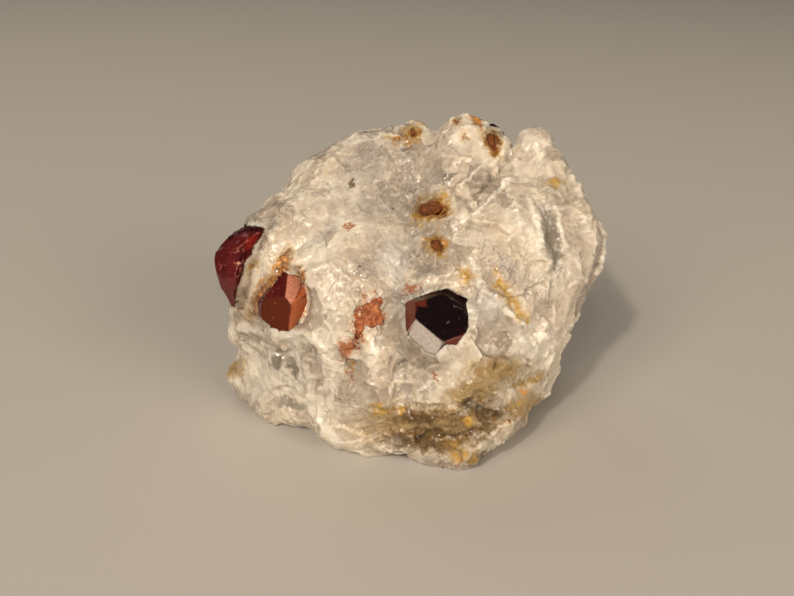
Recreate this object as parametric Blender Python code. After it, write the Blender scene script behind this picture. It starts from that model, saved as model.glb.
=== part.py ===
"""Garnet in matrix: a lump of white quartz and feldspar with nine garnets grown into it.

The rock was measured from the front, along a line of sight that slopes down at 25 degrees. A place on it is
given in millimetres on a sheet held square to that line (right and up from its middle), with how far ahead
of the sheet's foot the surface lies there. seen() turns such a place into a point of the model.
"""

import math

import bmesh
import bpy
import numpy as np
from mathutils import Matrix, Vector
from mathutils.bvhtree import BVHTree

MM = 0.001
GAP = 0.3  # clearance between a garnet and its pocket
OPENING = 2.5  # clearance in front of a large garnet's front facets, so that its pocket is open

# the line of sight
SIGHT_SLOPE = math.radians(25)
SHEET_DISTANCE = 103.5  # from the eye to the sheet that right and up are read on
EYE = Vector((0.0, -93.8, 58.7))
SIGHT = Vector((0.0, math.cos(SIGHT_SLOPE), -math.sin(SIGHT_SLOPE)))
SHEET_UP = Vector((0.0, math.sin(SIGHT_SLOPE), math.cos(SIGHT_SLOPE)))

# the rock
ROCK_HEART = Vector((1.5, 0.0, 15.0))  # every point of the surface is in plain view from here
ROCK_SUBDIVISIONS = 5
CORNER_SOFTNESS = 0.06  # how far a landmark's corner is rounded, as a share of the way to the heart

# the outline against the background, clockwise from the left: right, up, ahead
OUTLINE = {
    "left shelf": (-19.1, -4.5, 1.0),
    "left notch": (-18.5, -7.0, 3.0),
    "left tip": (-19.7, -9.5, 3.5),
    "left foot": (-17.7, -10.8, 3.5),
    "left underside": (-16.0, -13.1, -0.5),
    "left base": (-13.1, -15.2, -4.5),
    "base gap": (-9.1, -15.1, -4.5),
    "front left foot": (-6.8, -17.5, -8.5),
    "front foot": (-4.3, -18.2, -9.8),
    "front arch left": (-0.8, -17.4, -9.0),
    "front arch": (0.7, -18.1, -10.0),
    "front base left": (3.0, -18.7, -11.5),
    "front base": (5.3, -19.2, -12.3),
    "lowest point": (7.6, -19.9, -12.8),
    "front right foot": (9.5, -19.4, -12.2),
    "right base": (11.2, -17.4, -8.8),
    "right underside": (13.9, -15.0, -5.5),
    "right underside step": (15.3, -12.4, -4.2),
    "right flank low": (16.8, -11.5, -3.0),
    "right flank": (18.4, -7.9, -1.0),
    "right waist": (19.3, -4.6, 0.0),
    "right wall": (21.4, -1.2, 1.0),
    "right cheek": (22.7, 2.1, 2.0),
    "right tip": (24.0, 8.1, 2.0),
    "right shoulder": (22.4, 9.9, 3.5),
    "right brow": (21.0, 12.8, 5.0),
    "right slope": (19.9, 15.1, 6.0),
    "right crown edge": (18.5, 16.8, 7.0),
    "right crown": (16.2, 19.1, 8.0),
    "right crown left": (14.8, 19.0, 8.5),
    "notch": (13.3, 17.2, 9.0),
    "crest step": (12.2, 18.5, 9.5),
    "crest right": (10.7, 19.7, 10.0),
    "crest top right": (9.0, 20.8, 10.0),
    "crest": (7.2, 21.5, 10.0),
    "crest left": (5.8, 20.8, 10.5),
    "saddle": (4.5, 19.8, 11.0),
    "left hump right": (3.0, 20.2, 11.5),
    "left hump": (0.7, 20.6, 12.0),
    "left ridge top": (-2.8, 19.7, 12.0),
    "left ridge": (-5.1, 19.0, 12.0),
    "left slope high": (-8.5, 16.7, 10.0),
    "left step": (-11.2, 15.0, 9.0),
    "left slope": (-12.0, 13.0, 7.5),
    "left slope middle": (-14.3, 11.3, 5.5),
    "left shoulder": (-16.9, 9.0, 3.0),
    "left cheek": (-18.9, 6.7, 1.0),
    "left wall": (-19.6, 2.6, 1.0),
    "left wall low": (-18.9, -1.4, 1.0),
}

# the front, in upright profiles at stations across the rock, each from the top down: up, ahead
FRONT_PROFILES = {
    -15.7: ((4.1, -4.0), (-0.2, -4.8), (-4.8, -5.2), (-8.3, -2.2), (-11.7, -3.4)),
    -11.4: ((11.3, 1.5), (6.7, -4.0), (1.5, -7.6), (-5.4, -8.8), (-8.9, -7.6), (-12.3, -6.8)),
    -6.4: ((16.4, 8.0), (13.0, 3.5), (9.0, -2.0), (4.4, -6.6), (-0.2, -9.6), (-4.8, -11.2), (-9.4, -11.0),
           (-14.0, -10.5)),
    -1.6: ((17.0, 7.0), (11.3, 1.5), (5.5, -5.3), (0.9, -9.0), (-3.7, -11.8), (-9.4, -13.2), (-13.1, -13.0),
           (-15.8, -11.2)),
    3.8: ((17.0, 6.0), (11.3, -0.5), (5.5, -6.0), (1.5, -9.3), (-2.5, -11.8), (-7.7, -13.4), (-12.9, -14.0),
          (-16.3, -13.3)),
    9.7: ((17.0, 5.0), (11.3, -1.5), (5.5, -6.8), (-0.2, -10.8), (-6.0, -13.6), (-10.0, -14.6), (-12.4, -13.3),
          (-16.3, -13.3)),
    15.0: ((15.3, 4.0), (11.3, -1.0), (5.5, -5.2), (-0.2, -8.8), (-5.4, -10.0), (-9.2, -9.2), (-12.3, -8.4)),
    19.6: ((12.4, 2.0), (7.8, -2.4), (3.8, -3.8), (-1.4, -4.0)),
}

# the hidden sides, judged from the outline: plain x, y, z
BACK = {
    "back left shoulder": (-14.0, 14.0, 20.0),
    "back top": (0.0, 17.5, 24.0),
    "back right shoulder": (14.5, 14.0, 23.0),
    "back left": (-16.5, 12.5, 9.0),
    "back middle": (-2.0, 19.5, 11.0),
    "back right": (16.0, 13.5, 11.0),
    "back left foot": (-12.0, 12.0, 0.5),
    "back foot": (3.0, 16.5, 0.5),
    "back right foot": (12.0, 10.0, 0.5),
    "back upper left": (-8.0, 17.0, 25.5),
    "back upper right": (9.0, 16.0, 27.0),
    "behind the notch": (13.2, 12.5, 27.0),
    "right side low": (16.5, 3.0, 4.0),
    "left side low": (-18.0, 7.0, 3.0),
}

# what the flat underside is cut from: plain x, y, z
UNDERSIDE = {
    "under the middle": (1.0, 1.0, -2.5),
    "under the front": (5.0, -8.0, -1.5),
    "under the left": (-9.0, -1.0, -1.2),
    "under the back": (1.0, 9.0, -2.0),
    "under the right": (10.0, 2.0, -1.2),
}

# Each large garnet's facets as seen along the line of sight: the way the facet faces (right, up, towards the
# eye), and its plane's distance from the heart of the crystal. The places are of the hearts, on the sheet;
# proud is how far the heart lies in front of the rock's surface there, and ahead replaces it where the
# crystal stands out past the outline.
LARGE_GARNETS = {
    "garnet_dark": {
        "place": (4.6, -2.5),
        "proud": -1.9,
        "facets": (
            ((0.31, 0.73, 1.0), 2.35),  # the large dark face
            ((-0.21, 0.12, 1.0), 3.94),  # the bright face at its lower left
            ((-1.20, 0.73, 1.0), 3.65),  # the red strip on the left
            ((-0.34, 2.62, 1.0), 2.73),  # the thin bevel along the top
            ((0.63, -0.22, 1.0), 4.39),  # the small red face at the lower right
            ((-1.0, 0.10, -0.17), 3.23),
            ((-0.33, 0.94, -0.15), 2.79),
            ((0.45, 0.89, -0.20), 3.24),
            ((-0.62, -0.79, -0.20), 3.20),
            ((-0.26, -0.97, -0.10), 3.33),
            ((0.65, -0.76, -0.20), 2.90),
            ((1.0, 0.0, -0.10), 3.50),
            ((0.0, 0.0, -1.0), 2.60),
            ((-0.6, 0.3, -1.0), 3.00),
            ((0.6, -0.3, -1.0), 3.00),
        ),
        "colour": (0.035, 0.008, 0.022),
    },
    "garnet_left": {
        "place": (-17.36, 3.45),
        "ahead": 0.2,
        "facets": (
            ((-0.42, -0.02, 1.0), 3.60),  # the broad face towards the eye
            ((-0.70, 0.95, 1.0), 4.05),  # the dark bevel above it
            ((-0.80, -0.75, 1.0), 3.75),  # the paler face at the lower left
            ((-0.55, 0.83, 0.0), 3.84),
            ((-0.99, -0.17, 0.0), 3.00),
            ((-0.91, -0.42, 0.0), 3.39),
            ((0.06, 1.0, 0.0), 4.68),
            ((-0.35, -0.94, 0.0), 4.60),
            ((0.55, -0.83, 0.0), 3.60),
            ((0.99, 0.17, 0.0), 2.80),
            ((0.70, 0.71, 0.0), 4.20),
            ((0.60, -0.30, 1.0), 2.60),
            ((-0.42, 0.0, -1.0), 3.60),
            ((-0.50, 0.95, -1.0), 4.05),
            ((-0.60, -0.80, -1.0), 3.90),
            ((0.50, 0.0, -1.0), 3.60),
        ),
        "colour": (0.16, 0.012, 0.016),
    },
    "garnet_orange": {
        "place": (-13.0, -0.46),
        "proud": -2.2,
        "facets": (
            ((-0.15, -0.35, 1.0), 2.35),  # the brown face below
            ((-0.15, 0.55, 1.0), 2.61),  # the maroon face at the upper left
            ((1.04, -0.46, 1.0), 2.24),  # the orange face on the right
            ((0.55, 0.41, 1.0), 2.31),  # the pearly face at the upper right
            ((-1.0, 0.0, -0.10), 2.60),
            ((-0.80, 0.60, 0.0), 2.30),
            ((-0.70, -0.70, -0.10), 2.70),
            ((0.0, -1.0, -0.10), 3.05),
            ((0.65, -0.76, -0.10), 2.80),
            ((0.95, -0.30, -0.10), 2.45),
            ((0.90, 0.40, -0.10), 2.50),
            ((0.20, 0.98, -0.10), 3.25),
            ((0.0, 0.0, -1.0), 2.20),
        ),
        "colour": (0.35, 0.06, 0.02),
    },
}

# the small garnets: place on the sheet, width, height and depth, turn in the sheet in degrees, proud or ahead
SMALL_GARNETS = {
    "garnet_broken": {"place": (-3.1, -2.2), "size": (3.2, 5.0, 2.6), "turn": -32, "proud": -0.75},
    "garnet_bead": {"place": (4.48, 5.98), "size": (1.45, 1.45, 1.45), "turn": 0, "proud": -0.25},
    "garnet_upper": {"place": (3.85, 10.2), "size": (3.3, 1.5, 1.6), "turn": 24, "proud": -0.35},
    "garnet_pit": {"place": (10.9, 17.8), "size": (1.6, 2.5, 2.0), "turn": 30, "proud": -0.6},
    "garnet_crest": {"place": (1.84, 18.9), "size": (1.5, 1.3, 1.3), "turn": 0, "proud": -0.3},
    "garnet_back": {"place": (11.0, 18.7), "size": (3.0, 2.3, 2.6), "turn": -35, "ahead": 11.4},
}
SMALL_GARNET_COLOUR = (0.20, 0.035, 0.015)
SMALL_GARNET_TUMBLE = (0.5, 0.3, 0.2)  # so that no facet of a small garnet faces straight ahead
ROCK_COLOUR = (0.72, 0.66, 0.56)
STOCK = 20.0  # side of the block that a large garnet's facets are cut from
FRONT_FACING = 0.3  # a facet whose outward direction has at least this much towards the eye is a front one


def seen(right, up, ahead):
    """The point that shows at (right, up) on the sheet and lies at y = ahead."""
    ray = SIGHT * SHEET_DISTANCE + Vector((right, 0.0, 0.0)) + SHEET_UP * up
    return EYE + ray * ((ahead - EYE.y) / ray.y)


def landmarks():
    """Every measured point of the rock."""
    points = [seen(*place) for place in OUTLINE.values()]
    for right, profile in FRONT_PROFILES.items():
        points += [seen(right, up, ahead) for up, ahead in profile]
    points += [Vector(place) for place in BACK.values()]
    points += [Vector(place) for place in UNDERSIDE.values()]
    return points


def kernel(one, other):
    """The distance between two sets of directions, rounded off near zero."""
    apart = np.linalg.norm(one[:, None, :] - other[None, :, :], axis=2)
    return np.sqrt(apart**2 + CORNER_SOFTNESS**2)


def radii_through(points, directions):
    """How far the surface through the landmarks lies from the heart, in each of the directions."""
    arms = np.array([point - ROCK_HEART for point in points])
    lengths = np.linalg.norm(arms, axis=1)
    known = arms / lengths[:, None]
    mean = lengths.mean()
    weights = np.linalg.solve(kernel(known, known), lengths - mean)
    return mean + kernel(directions, known) @ weights


def rock_surface():
    """The whole rock before its pockets are cut, with its underside cut flat."""
    rock = bmesh.new()
    bmesh.ops.create_icosphere(rock, subdivisions=ROCK_SUBDIVISIONS, radius=1.0)
    directions = np.array([vert.co.normalized() for vert in rock.verts])
    radii = radii_through(landmarks(), directions)
    for vert, direction, radius in zip(rock.verts, directions, radii):
        vert.co = ROCK_HEART + Vector(direction) * float(radius)
    cut_and_cap(rock, Vector((0.0, 0.0, 0.0)), Vector((0.0, 0.0, -1.0)))
    return rock


def cut_and_cap(shape, point, outward):
    """Removes what lies on the outward side of the plane and closes the cut."""
    everything = list(shape.verts) + list(shape.edges) + list(shape.faces)
    cut = bmesh.ops.bisect_plane(
        shape, geom=everything, dist=1e-5, plane_co=point, plane_no=outward, clear_outer=True
    )
    rim = [edge for edge in cut["geom_cut"] if isinstance(edge, bmesh.types.BMEdge)]
    if rim:
        bmesh.ops.edgeloop_fill(shape, edges=rim)


def facing_frame(heart):
    """A frame at the heart whose axes are right, up and towards the eye."""
    towards = (EYE - heart).normalized()
    right = Vector((0.0, 0.0, 1.0)).cross(towards).normalized()
    up = towards.cross(right)
    turn = Matrix((right, up, towards)).transposed().to_4x4()
    return Matrix.Translation(heart) @ turn


def heart_of(garnet, rock_tree):
    """The garnet's heart: at its stated depth, or measured from where its line of sight meets the rock."""
    right, up = garnet["place"]
    if "ahead" in garnet:
        return seen(right, up, garnet["ahead"])
    ray = (seen(right, up, 0.0) - EYE).normalized()
    hit = rock_tree.ray_cast(EYE, ray)[0]
    return hit - ray * garnet["proud"]


def cut_crystal(facets, grown, opened):
    """A crystal cut facet by facet from a block, each plane moved out by grown, and the front ones by opened."""
    crystal = bmesh.new()
    bmesh.ops.create_cube(crystal, size=STOCK)
    for facing, distance in facets:
        outward = Vector(facing).normalized()
        moved = grown + opened if outward.z > FRONT_FACING else grown
        cut_and_cap(crystal, outward * (distance + moved), outward)
    return crystal


def trapezohedron_facets():
    """The 24 faces of the garnets' usual form: (2, 1, 1) and its like, one unit from the heart."""
    facets = []
    for long_axis in range(3):
        for corner in range(8):
            facing = [1.0 if corner & bit else -1.0 for bit in (1, 2, 4)]
            facing[long_axis] *= 2.0
            facets.append((tuple(facing), 1.0))
    return facets


def small_crystal(garnet, grown):
    """A 24-faced crystal, tumbled, then stretched to its size and turned."""
    crystal = cut_crystal(trapezohedron_facets(), 0.0, 0.0)
    tumble = Matrix.Rotation(1.0, 3, Vector(SMALL_GARNET_TUMBLE))
    stretch = Matrix.Diagonal([side / 2 + grown for side in garnet["size"]])
    turn = Matrix.Rotation(math.radians(garnet["turn"]), 3, "Z")
    bmesh.ops.transform(crystal, matrix=(turn @ stretch @ tumble).to_4x4(), verts=crystal.verts)
    return crystal


def shape_of(garnet, grown=0.0, opened=0.0):
    """The garnet's own shape, or its pocket's where it is grown and opened."""
    if "facets" in garnet:
        return cut_crystal(garnet["facets"], grown, opened)
    return small_crystal(garnet, grown)


def material(name, colour, roughness):
    finish = bpy.data.materials.new(name)
    finish.use_nodes = True
    shader = finish.node_tree.nodes["Principled BSDF"]
    shader.inputs["Base Color"].default_value = (*colour, 1.0)
    shader.inputs["Roughness"].default_value = roughness
    shader.inputs["Metallic"].default_value = 0.0
    finish.diffuse_color = (*colour, 1.0)
    return finish


def collection(name):
    group = bpy.data.collections.new(name)
    bpy.context.scene.collection.children.link(group)
    return group


def add_object(name, shape, place, group, finish=None):
    """An object of the shape, which was made in millimetres."""
    bmesh.ops.transform(shape, matrix=Matrix.Scale(MM, 4) @ place, verts=shape.verts)
    bmesh.ops.recalc_face_normals(shape, faces=shape.faces)
    mesh = bpy.data.meshes.new(name)
    shape.to_mesh(mesh)
    shape.free()
    if finish:
        mesh.materials.append(finish)
    made = bpy.data.objects.new(name, mesh)
    group.objects.link(made)
    return made


def cut_pocket(rock, cutter):
    cutter.hide_render = True
    cutter.display_type = "WIRE"
    pocket = rock.modifiers.new(cutter.name, "BOOLEAN")
    pocket.operation = "DIFFERENCE"
    pocket.solver = "EXACT"
    pocket.object = cutter


def centre_of(boxes):
    """The middle of all the corners, across and along."""
    corners = np.array(boxes)
    middle = (corners.min(axis=0) + corners.max(axis=0)) / 2
    return Vector((middle[0], middle[1], 0.0))


def main():
    for old in list(bpy.data.objects):
        bpy.data.objects.remove(old)
    parts = collection("garnet_in_matrix")
    cutters = collection("pockets")
    rock_shape = rock_surface()
    rock_tree = BVHTree.FromBMesh(rock_shape)
    garnets = {**LARGE_GARNETS, **SMALL_GARNETS}
    frames = {name: facing_frame(heart_of(garnet, rock_tree)) for name, garnet in garnets.items()}
    corners = [vert.co.copy() for vert in rock_shape.verts]
    for name, garnet in garnets.items():
        corners += [frames[name] @ vert.co for vert in shape_of(garnet).verts]
    centring = Matrix.Translation(-centre_of(corners))

    rock = add_object("matrix", rock_shape, centring, parts, material("milky_quartz", ROCK_COLOUR, 0.45))
    for name, garnet in garnets.items():
        place = centring @ frames[name]
        finish = material(name, garnet.get("colour", SMALL_GARNET_COLOUR), 0.12)
        add_object(name, shape_of(garnet), place, parts, finish)
        cut_pocket(rock, add_object(name + "_pocket", shape_of(garnet, GAP, OPENING), place, cutters))


main()
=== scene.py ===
"""Garnet in matrix: the looks of the specimen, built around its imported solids.

Places on the specimen's front are read on a sheet held square to the line of sight, as right and up in
millimetres. Lengths in this file are millimetres, and meshes are made in metres.
"""

import math

import bmesh
import bpy
import numpy as np
from bpy.props import FloatProperty, FloatVectorProperty, IntProperty, PointerProperty
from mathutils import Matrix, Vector, noise
from mathutils.bvhtree import BVHTree
from mathutils.kdtree import KDTree


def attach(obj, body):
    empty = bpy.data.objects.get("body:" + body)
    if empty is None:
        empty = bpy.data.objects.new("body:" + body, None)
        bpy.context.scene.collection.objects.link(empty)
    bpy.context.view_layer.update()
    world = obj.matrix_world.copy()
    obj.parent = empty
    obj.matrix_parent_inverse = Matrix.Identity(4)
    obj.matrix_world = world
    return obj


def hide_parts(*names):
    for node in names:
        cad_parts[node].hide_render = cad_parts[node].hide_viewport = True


bl_info = {
    "name": "Garnet in Matrix",
    "version": (1, 0, 0),
    "blender": (4, 5, 0),
    "location": "3D View > Sidebar > Garnet in Matrix",
    "description": "Builds a quartz hand specimen with garnet crystals in it",
    "category": "Add Mesh",
}

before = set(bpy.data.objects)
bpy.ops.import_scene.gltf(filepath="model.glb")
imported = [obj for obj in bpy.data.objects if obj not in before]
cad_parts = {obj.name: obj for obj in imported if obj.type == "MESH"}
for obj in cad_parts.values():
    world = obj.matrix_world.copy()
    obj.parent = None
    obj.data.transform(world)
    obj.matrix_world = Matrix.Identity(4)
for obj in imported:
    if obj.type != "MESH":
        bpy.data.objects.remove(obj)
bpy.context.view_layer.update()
MM = 0.001

# the line of sight that the specimen is drawn along
SIGHT_SLOPE = math.radians(25)
SHEET_DISTANCE = 103.5  # from the eye to the sheet that right and up are read on
EYE = np.array((-1.361, -95.861, 58.7))
SIGHT = np.array((0.0, math.cos(SIGHT_SLOPE), -math.sin(SIGHT_SLOPE)))
SHEET_UP = np.array((0.0, math.sin(SIGHT_SLOPE), math.cos(SIGHT_SLOPE)))
SHEET_RIGHT = np.array((1.0, 0.0, 0.0))
PHOTO_WIDTH = 794  # pixels
FOCAL_LENGTH = 900  # pixels
SENSOR_WIDTH = 36.0
NEAREST_SEEN = 0.001  # metres from the camera

ROCK_HEART = np.array((0.1, -2.0, 15.0))  # every point of the rock is in plain view from here
UNMARKED = -3.0  # a mark's value well away from its places
FAR = 60.0  # beyond every point of the rock, seen from its heart
TINY = 1e-9  # keeps a length that is divided by away from zero


# sheet coordinates and masks


def on_sheet(points):
    """Right and up on the sheet of each point."""
    arms = points - EYE
    depth = arms @ SIGHT
    return SHEET_DISTANCE * (arms @ SHEET_RIGHT) / depth, SHEET_DISTANCE * (arms @ SHEET_UP) / depth


def smoothstep(low, high, value):
    """0 at low, 1 at high, and smooth between."""
    share = np.clip((value - low) / (high - low), 0.0, 1.0)
    return share * share * (3 - 2 * share)


def blob(right, up, centre, radii, turn=0.0):
    """1 in the middle of an ellipse on the sheet, 0 on its edge, and less outside."""
    angle = math.radians(turn)
    across, along = right - centre[0], up - centre[1]
    first = (across * math.cos(angle) + along * math.sin(angle)) / radii[0]
    second = (-across * math.sin(angle) + along * math.cos(angle)) / radii[1]
    return np.maximum(1.0 - np.hypot(first, second), UNMARKED)


def nearest_on_line(right, up, line):
    """The distance on the sheet to a line through the given places, and the nearest place on it."""
    best = np.full(len(right), np.inf)
    place = np.zeros((2, len(right)))
    for (r0, u0), (r1, u1) in zip(line, line[1:]):
        along = np.array((r1 - r0, u1 - u0))
        share = np.clip(((right - r0) * along[0] + (up - u0) * along[1]) / (along @ along), 0.0, 1.0)
        near = np.array((r0 + share * along[0], u0 + share * along[1]))
        away = np.hypot(right - near[0], up - near[1])
        closer = away < best
        best = np.where(closer, away, best)
        place = np.where(closer, near, place)
    return best, place


def nearest_on_outline(right, up, outline):
    """The distance to a closed outline and the nearest place on it."""
    return nearest_on_line(right, up, outline + outline[:1])


def inside_outline(right, up, outline):
    """Whether each place lies inside the closed outline."""
    inside = np.zeros(len(right), bool)
    for (r0, u0), (r1, u1) in zip(outline, outline[1:] + outline[:1]):
        crosses = (u0 > up) != (u1 > up)
        with np.errstate(divide="ignore", invalid="ignore"):
            at = r0 + (up - u0) * (r1 - r0) / (u1 - u0)
        inside ^= crosses & (right < at)
    return inside


# reading the solids


def node_mesh(name):
    """A solid's points in millimetres and its polygons."""
    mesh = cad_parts[name].data
    points = np.empty(len(mesh.vertices) * 3, np.float32)
    mesh.vertices.foreach_get("co", points)
    return points.reshape(-1, 3).astype(float) / MM, [tuple(face.vertices) for face in mesh.polygons]


def tree_of(*names):
    """One search tree over the named solids."""
    points, faces = [], []
    for name in names:
        more_points, more_faces = node_mesh(name)
        start = len(points)
        points += [Vector(point) for point in more_points]
        faces += [tuple(index + start for index in face) for face in more_faces]
    return BVHTree.FromPolygons(points, faces)


GARNET_NAMES = [name for name in sorted(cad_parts) if name != "matrix"]
BEHIND_THE_CREST = "garnet_back"  # it only shows over the rock's edge, so the rock has no window for it


# the grid that carries the rock's surface


class Grid:
    """A closed mesh of quads whose points are moved as arrays."""

    def __init__(self, points, quads):
        self.points = points
        self.quads = quads
        sides = np.concatenate([quads[:, [i, (i + 1) % 4]] for i in range(4)])
        self.edges = np.unique(np.sort(sides, axis=1), axis=0)
        self.degree = np.bincount(self.edges.ravel(), minlength=len(points)).astype(float)

    def neighbour_mean(self, values):
        """The mean of each point's neighbours."""
        one, other = self.edges.T
        size = len(values)
        total = np.bincount(one, values[other], size) + np.bincount(other, values[one], size)
        return total / self.degree

    def smoothed(self, values, rounds):
        """The values after so many rounds of smoothing."""
        for _ in range(rounds):
            values = 0.5 * values + 0.5 * self.neighbour_mean(values)
        return values

    def smoothed_points(self, rounds):
        return np.stack([self.smoothed(axis, rounds) for axis in self.points.T], axis=1)

    def normals(self, rounds=0):
        """Each point's outward direction, read after so many rounds of smoothing."""
        corners = self.smoothed_points(rounds)[self.quads]
        facing = np.cross(corners[:, 2] - corners[:, 0], corners[:, 3] - corners[:, 1])
        size = len(self.points)
        total = np.zeros((size, 3))
        for corner in self.quads.T:
            total += np.stack([np.bincount(corner, axis, size) for axis in facing.T], axis=1)
        return total / np.maximum(np.linalg.norm(total, axis=1, keepdims=True), TINY)


def cube_directions(side, front_share):
    """Directions on a cube sphere with side cells along an edge, closer together towards the eye."""
    cube = bmesh.new()
    bmesh.ops.create_cube(cube, size=2.0)
    bmesh.ops.subdivide_edges(cube, edges=cube.edges[:], cuts=side - 1, use_grid_fill=True)
    directions = np.array([vert.co for vert in cube.verts])
    quads = np.array([[vert.index for vert in face.verts] for face in cube.faces])
    cube.free()
    directions = np.tan(directions * math.pi / 4)
    directions /= np.linalg.norm(directions, axis=1, keepdims=True)
    directions = directions - front_share * SIGHT
    return directions / np.linalg.norm(directions, axis=1, keepdims=True), quads


FILLED_IN = 0.7  # the surface this close to a garnet is led across from round it
FILLING_ROUNDS = 500
EVENING_ROUNDS = 14
EVENING_IN, EVENING_OUT = 0.6, 0.63  # each round smooths and then swells again, so the rock doesn't shrink


def base_grid(side, front_share):
    """The rock's smooth outer shape, with the garnets' places filled in."""
    directions, quads = cube_directions(side, front_share)
    tree = tree_of(*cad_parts)
    garnets = tree_of(*GARNET_NAMES)
    radii = np.empty(len(directions))
    unknown = np.zeros(len(directions), bool)
    for index, direction in enumerate(directions):
        start = Vector(ROCK_HEART + direction * FAR)
        hit, _, _, reach = tree.ray_cast(start, Vector(-direction))
        radii[index] = FAR - reach
        unknown[index] = garnets.find_nearest(hit, FILLED_IN)[0] is not None
    grid = Grid(directions, quads)
    known_radii = radii.copy()
    unknown_part = unknown.nonzero()[0]
    for _ in range(FILLING_ROUNDS):
        mean = grid.neighbour_mean(radii)
        radii[unknown_part] = mean[unknown_part]
    radii[~unknown] = known_radii[~unknown]
    for _ in range(EVENING_ROUNDS):
        radii = radii + EVENING_IN * (grid.neighbour_mean(radii) - radii)
        radii = radii - EVENING_OUT * (grid.neighbour_mean(radii) - radii)
    grid.points = ROCK_HEART + directions * radii[:, None]
    return grid


# relief


def limit_spikes(grid, limit, rounds=3):
    """Brings back points that stand out from their neighbours by more than the limit."""
    for _ in range(rounds):
        mean = np.stack([grid.neighbour_mean(axis) for axis in grid.points.T], axis=1)
        off = grid.points - mean
        length = np.linalg.norm(off, axis=1, keepdims=True)
        grid.points = mean + off * np.minimum(1.0, limit / np.maximum(length, TINY))


def noise_at(points, size, octaves, seed):
    """Fractal noise from about -1 to 1, with its largest bumps of the given size."""
    shift = Vector((seed * 7.3, seed * -3.1, seed * 5.7))
    return np.array([
        noise.fractal(Vector(point) / size + shift, 1.0, 2.0, octaves, noise_basis="PERLIN_ORIGINAL")
        for point in points
    ])


def stretched_along(angle, factor):
    """A matrix for cells that are drawn out along a direction on the sheet."""
    turn = math.radians(angle)
    along = math.cos(turn) * SHEET_RIGHT + math.sin(turn) * SHEET_UP
    return np.eye(3) - (1 - 1 / factor) * np.outer(along, along)


STEEPEST_FACE = 0.25  # furthest that a face stands out or in, as a share of its size
NEAR_CELLS = 4
CALM_ROUNDS = 10  # rounds of smoothing before large relief reads which way the surface faces


def break_into_faces(grid, size, tilt, scoop, weight, grainy, seed, squash=np.eye(3)):
    """Breaks the surface into faces of about the given size, and gives a random tone for each point's face.

    Quartz parts in shallow scoops that meet at sharp ridges. Where grainy is 1 the surface is made of
    rounded grains that meet in sharp creases instead.
    """
    points, normals = grid.points, grid.normals(CALM_ROUNDS)
    rng = np.random.default_rng(seed)
    placed = points @ squash
    keys = np.floor(placed / size + rng.random(3)).astype(np.int64)
    order = rng.permutation(len(points))
    _, first = np.unique(keys[order], axis=0, return_index=True)
    hearts = placed[order[first]]
    count = len(hearts)
    tree = KDTree(count)
    for index, heart in enumerate(hearts):
        tree.insert(heart, index)
    tree.balance()
    near = np.array([[found[1:] for found in tree.find_n(point, NEAR_CELLS)] for point in placed])
    cells, away = near[:, :, 0].astype(int), near[:, :, 1]
    own = cells[:, 0]
    share = np.maximum(np.bincount(own, minlength=count), 1)[:, None]
    middle = np.stack([np.bincount(own, axis, count) for axis in points.T], axis=1) / share
    slope = rng.normal(size=middle.shape) * tilt
    drop = ((points[:, None] - middle[cells]) * slope[cells]).sum(axis=2)
    bowl = scoop * away**2 / size
    quartz_height = (drop + bowl).min(axis=1)
    grain_height = (drop - bowl).max(axis=1)
    height = quartz_height + grainy * (grain_height - quartz_height)
    height = np.clip(height - height.mean(), -STEEPEST_FACE * size, STEEPEST_FACE * size)
    grid.points = points + (weight * height)[:, None] * normals
    winner = np.where(grainy > 0.5, (drop - bowl).argmax(axis=1), (drop + bowl).argmin(axis=1))
    return rng.random(count)[cells[np.arange(len(points)), winner]]


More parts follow.
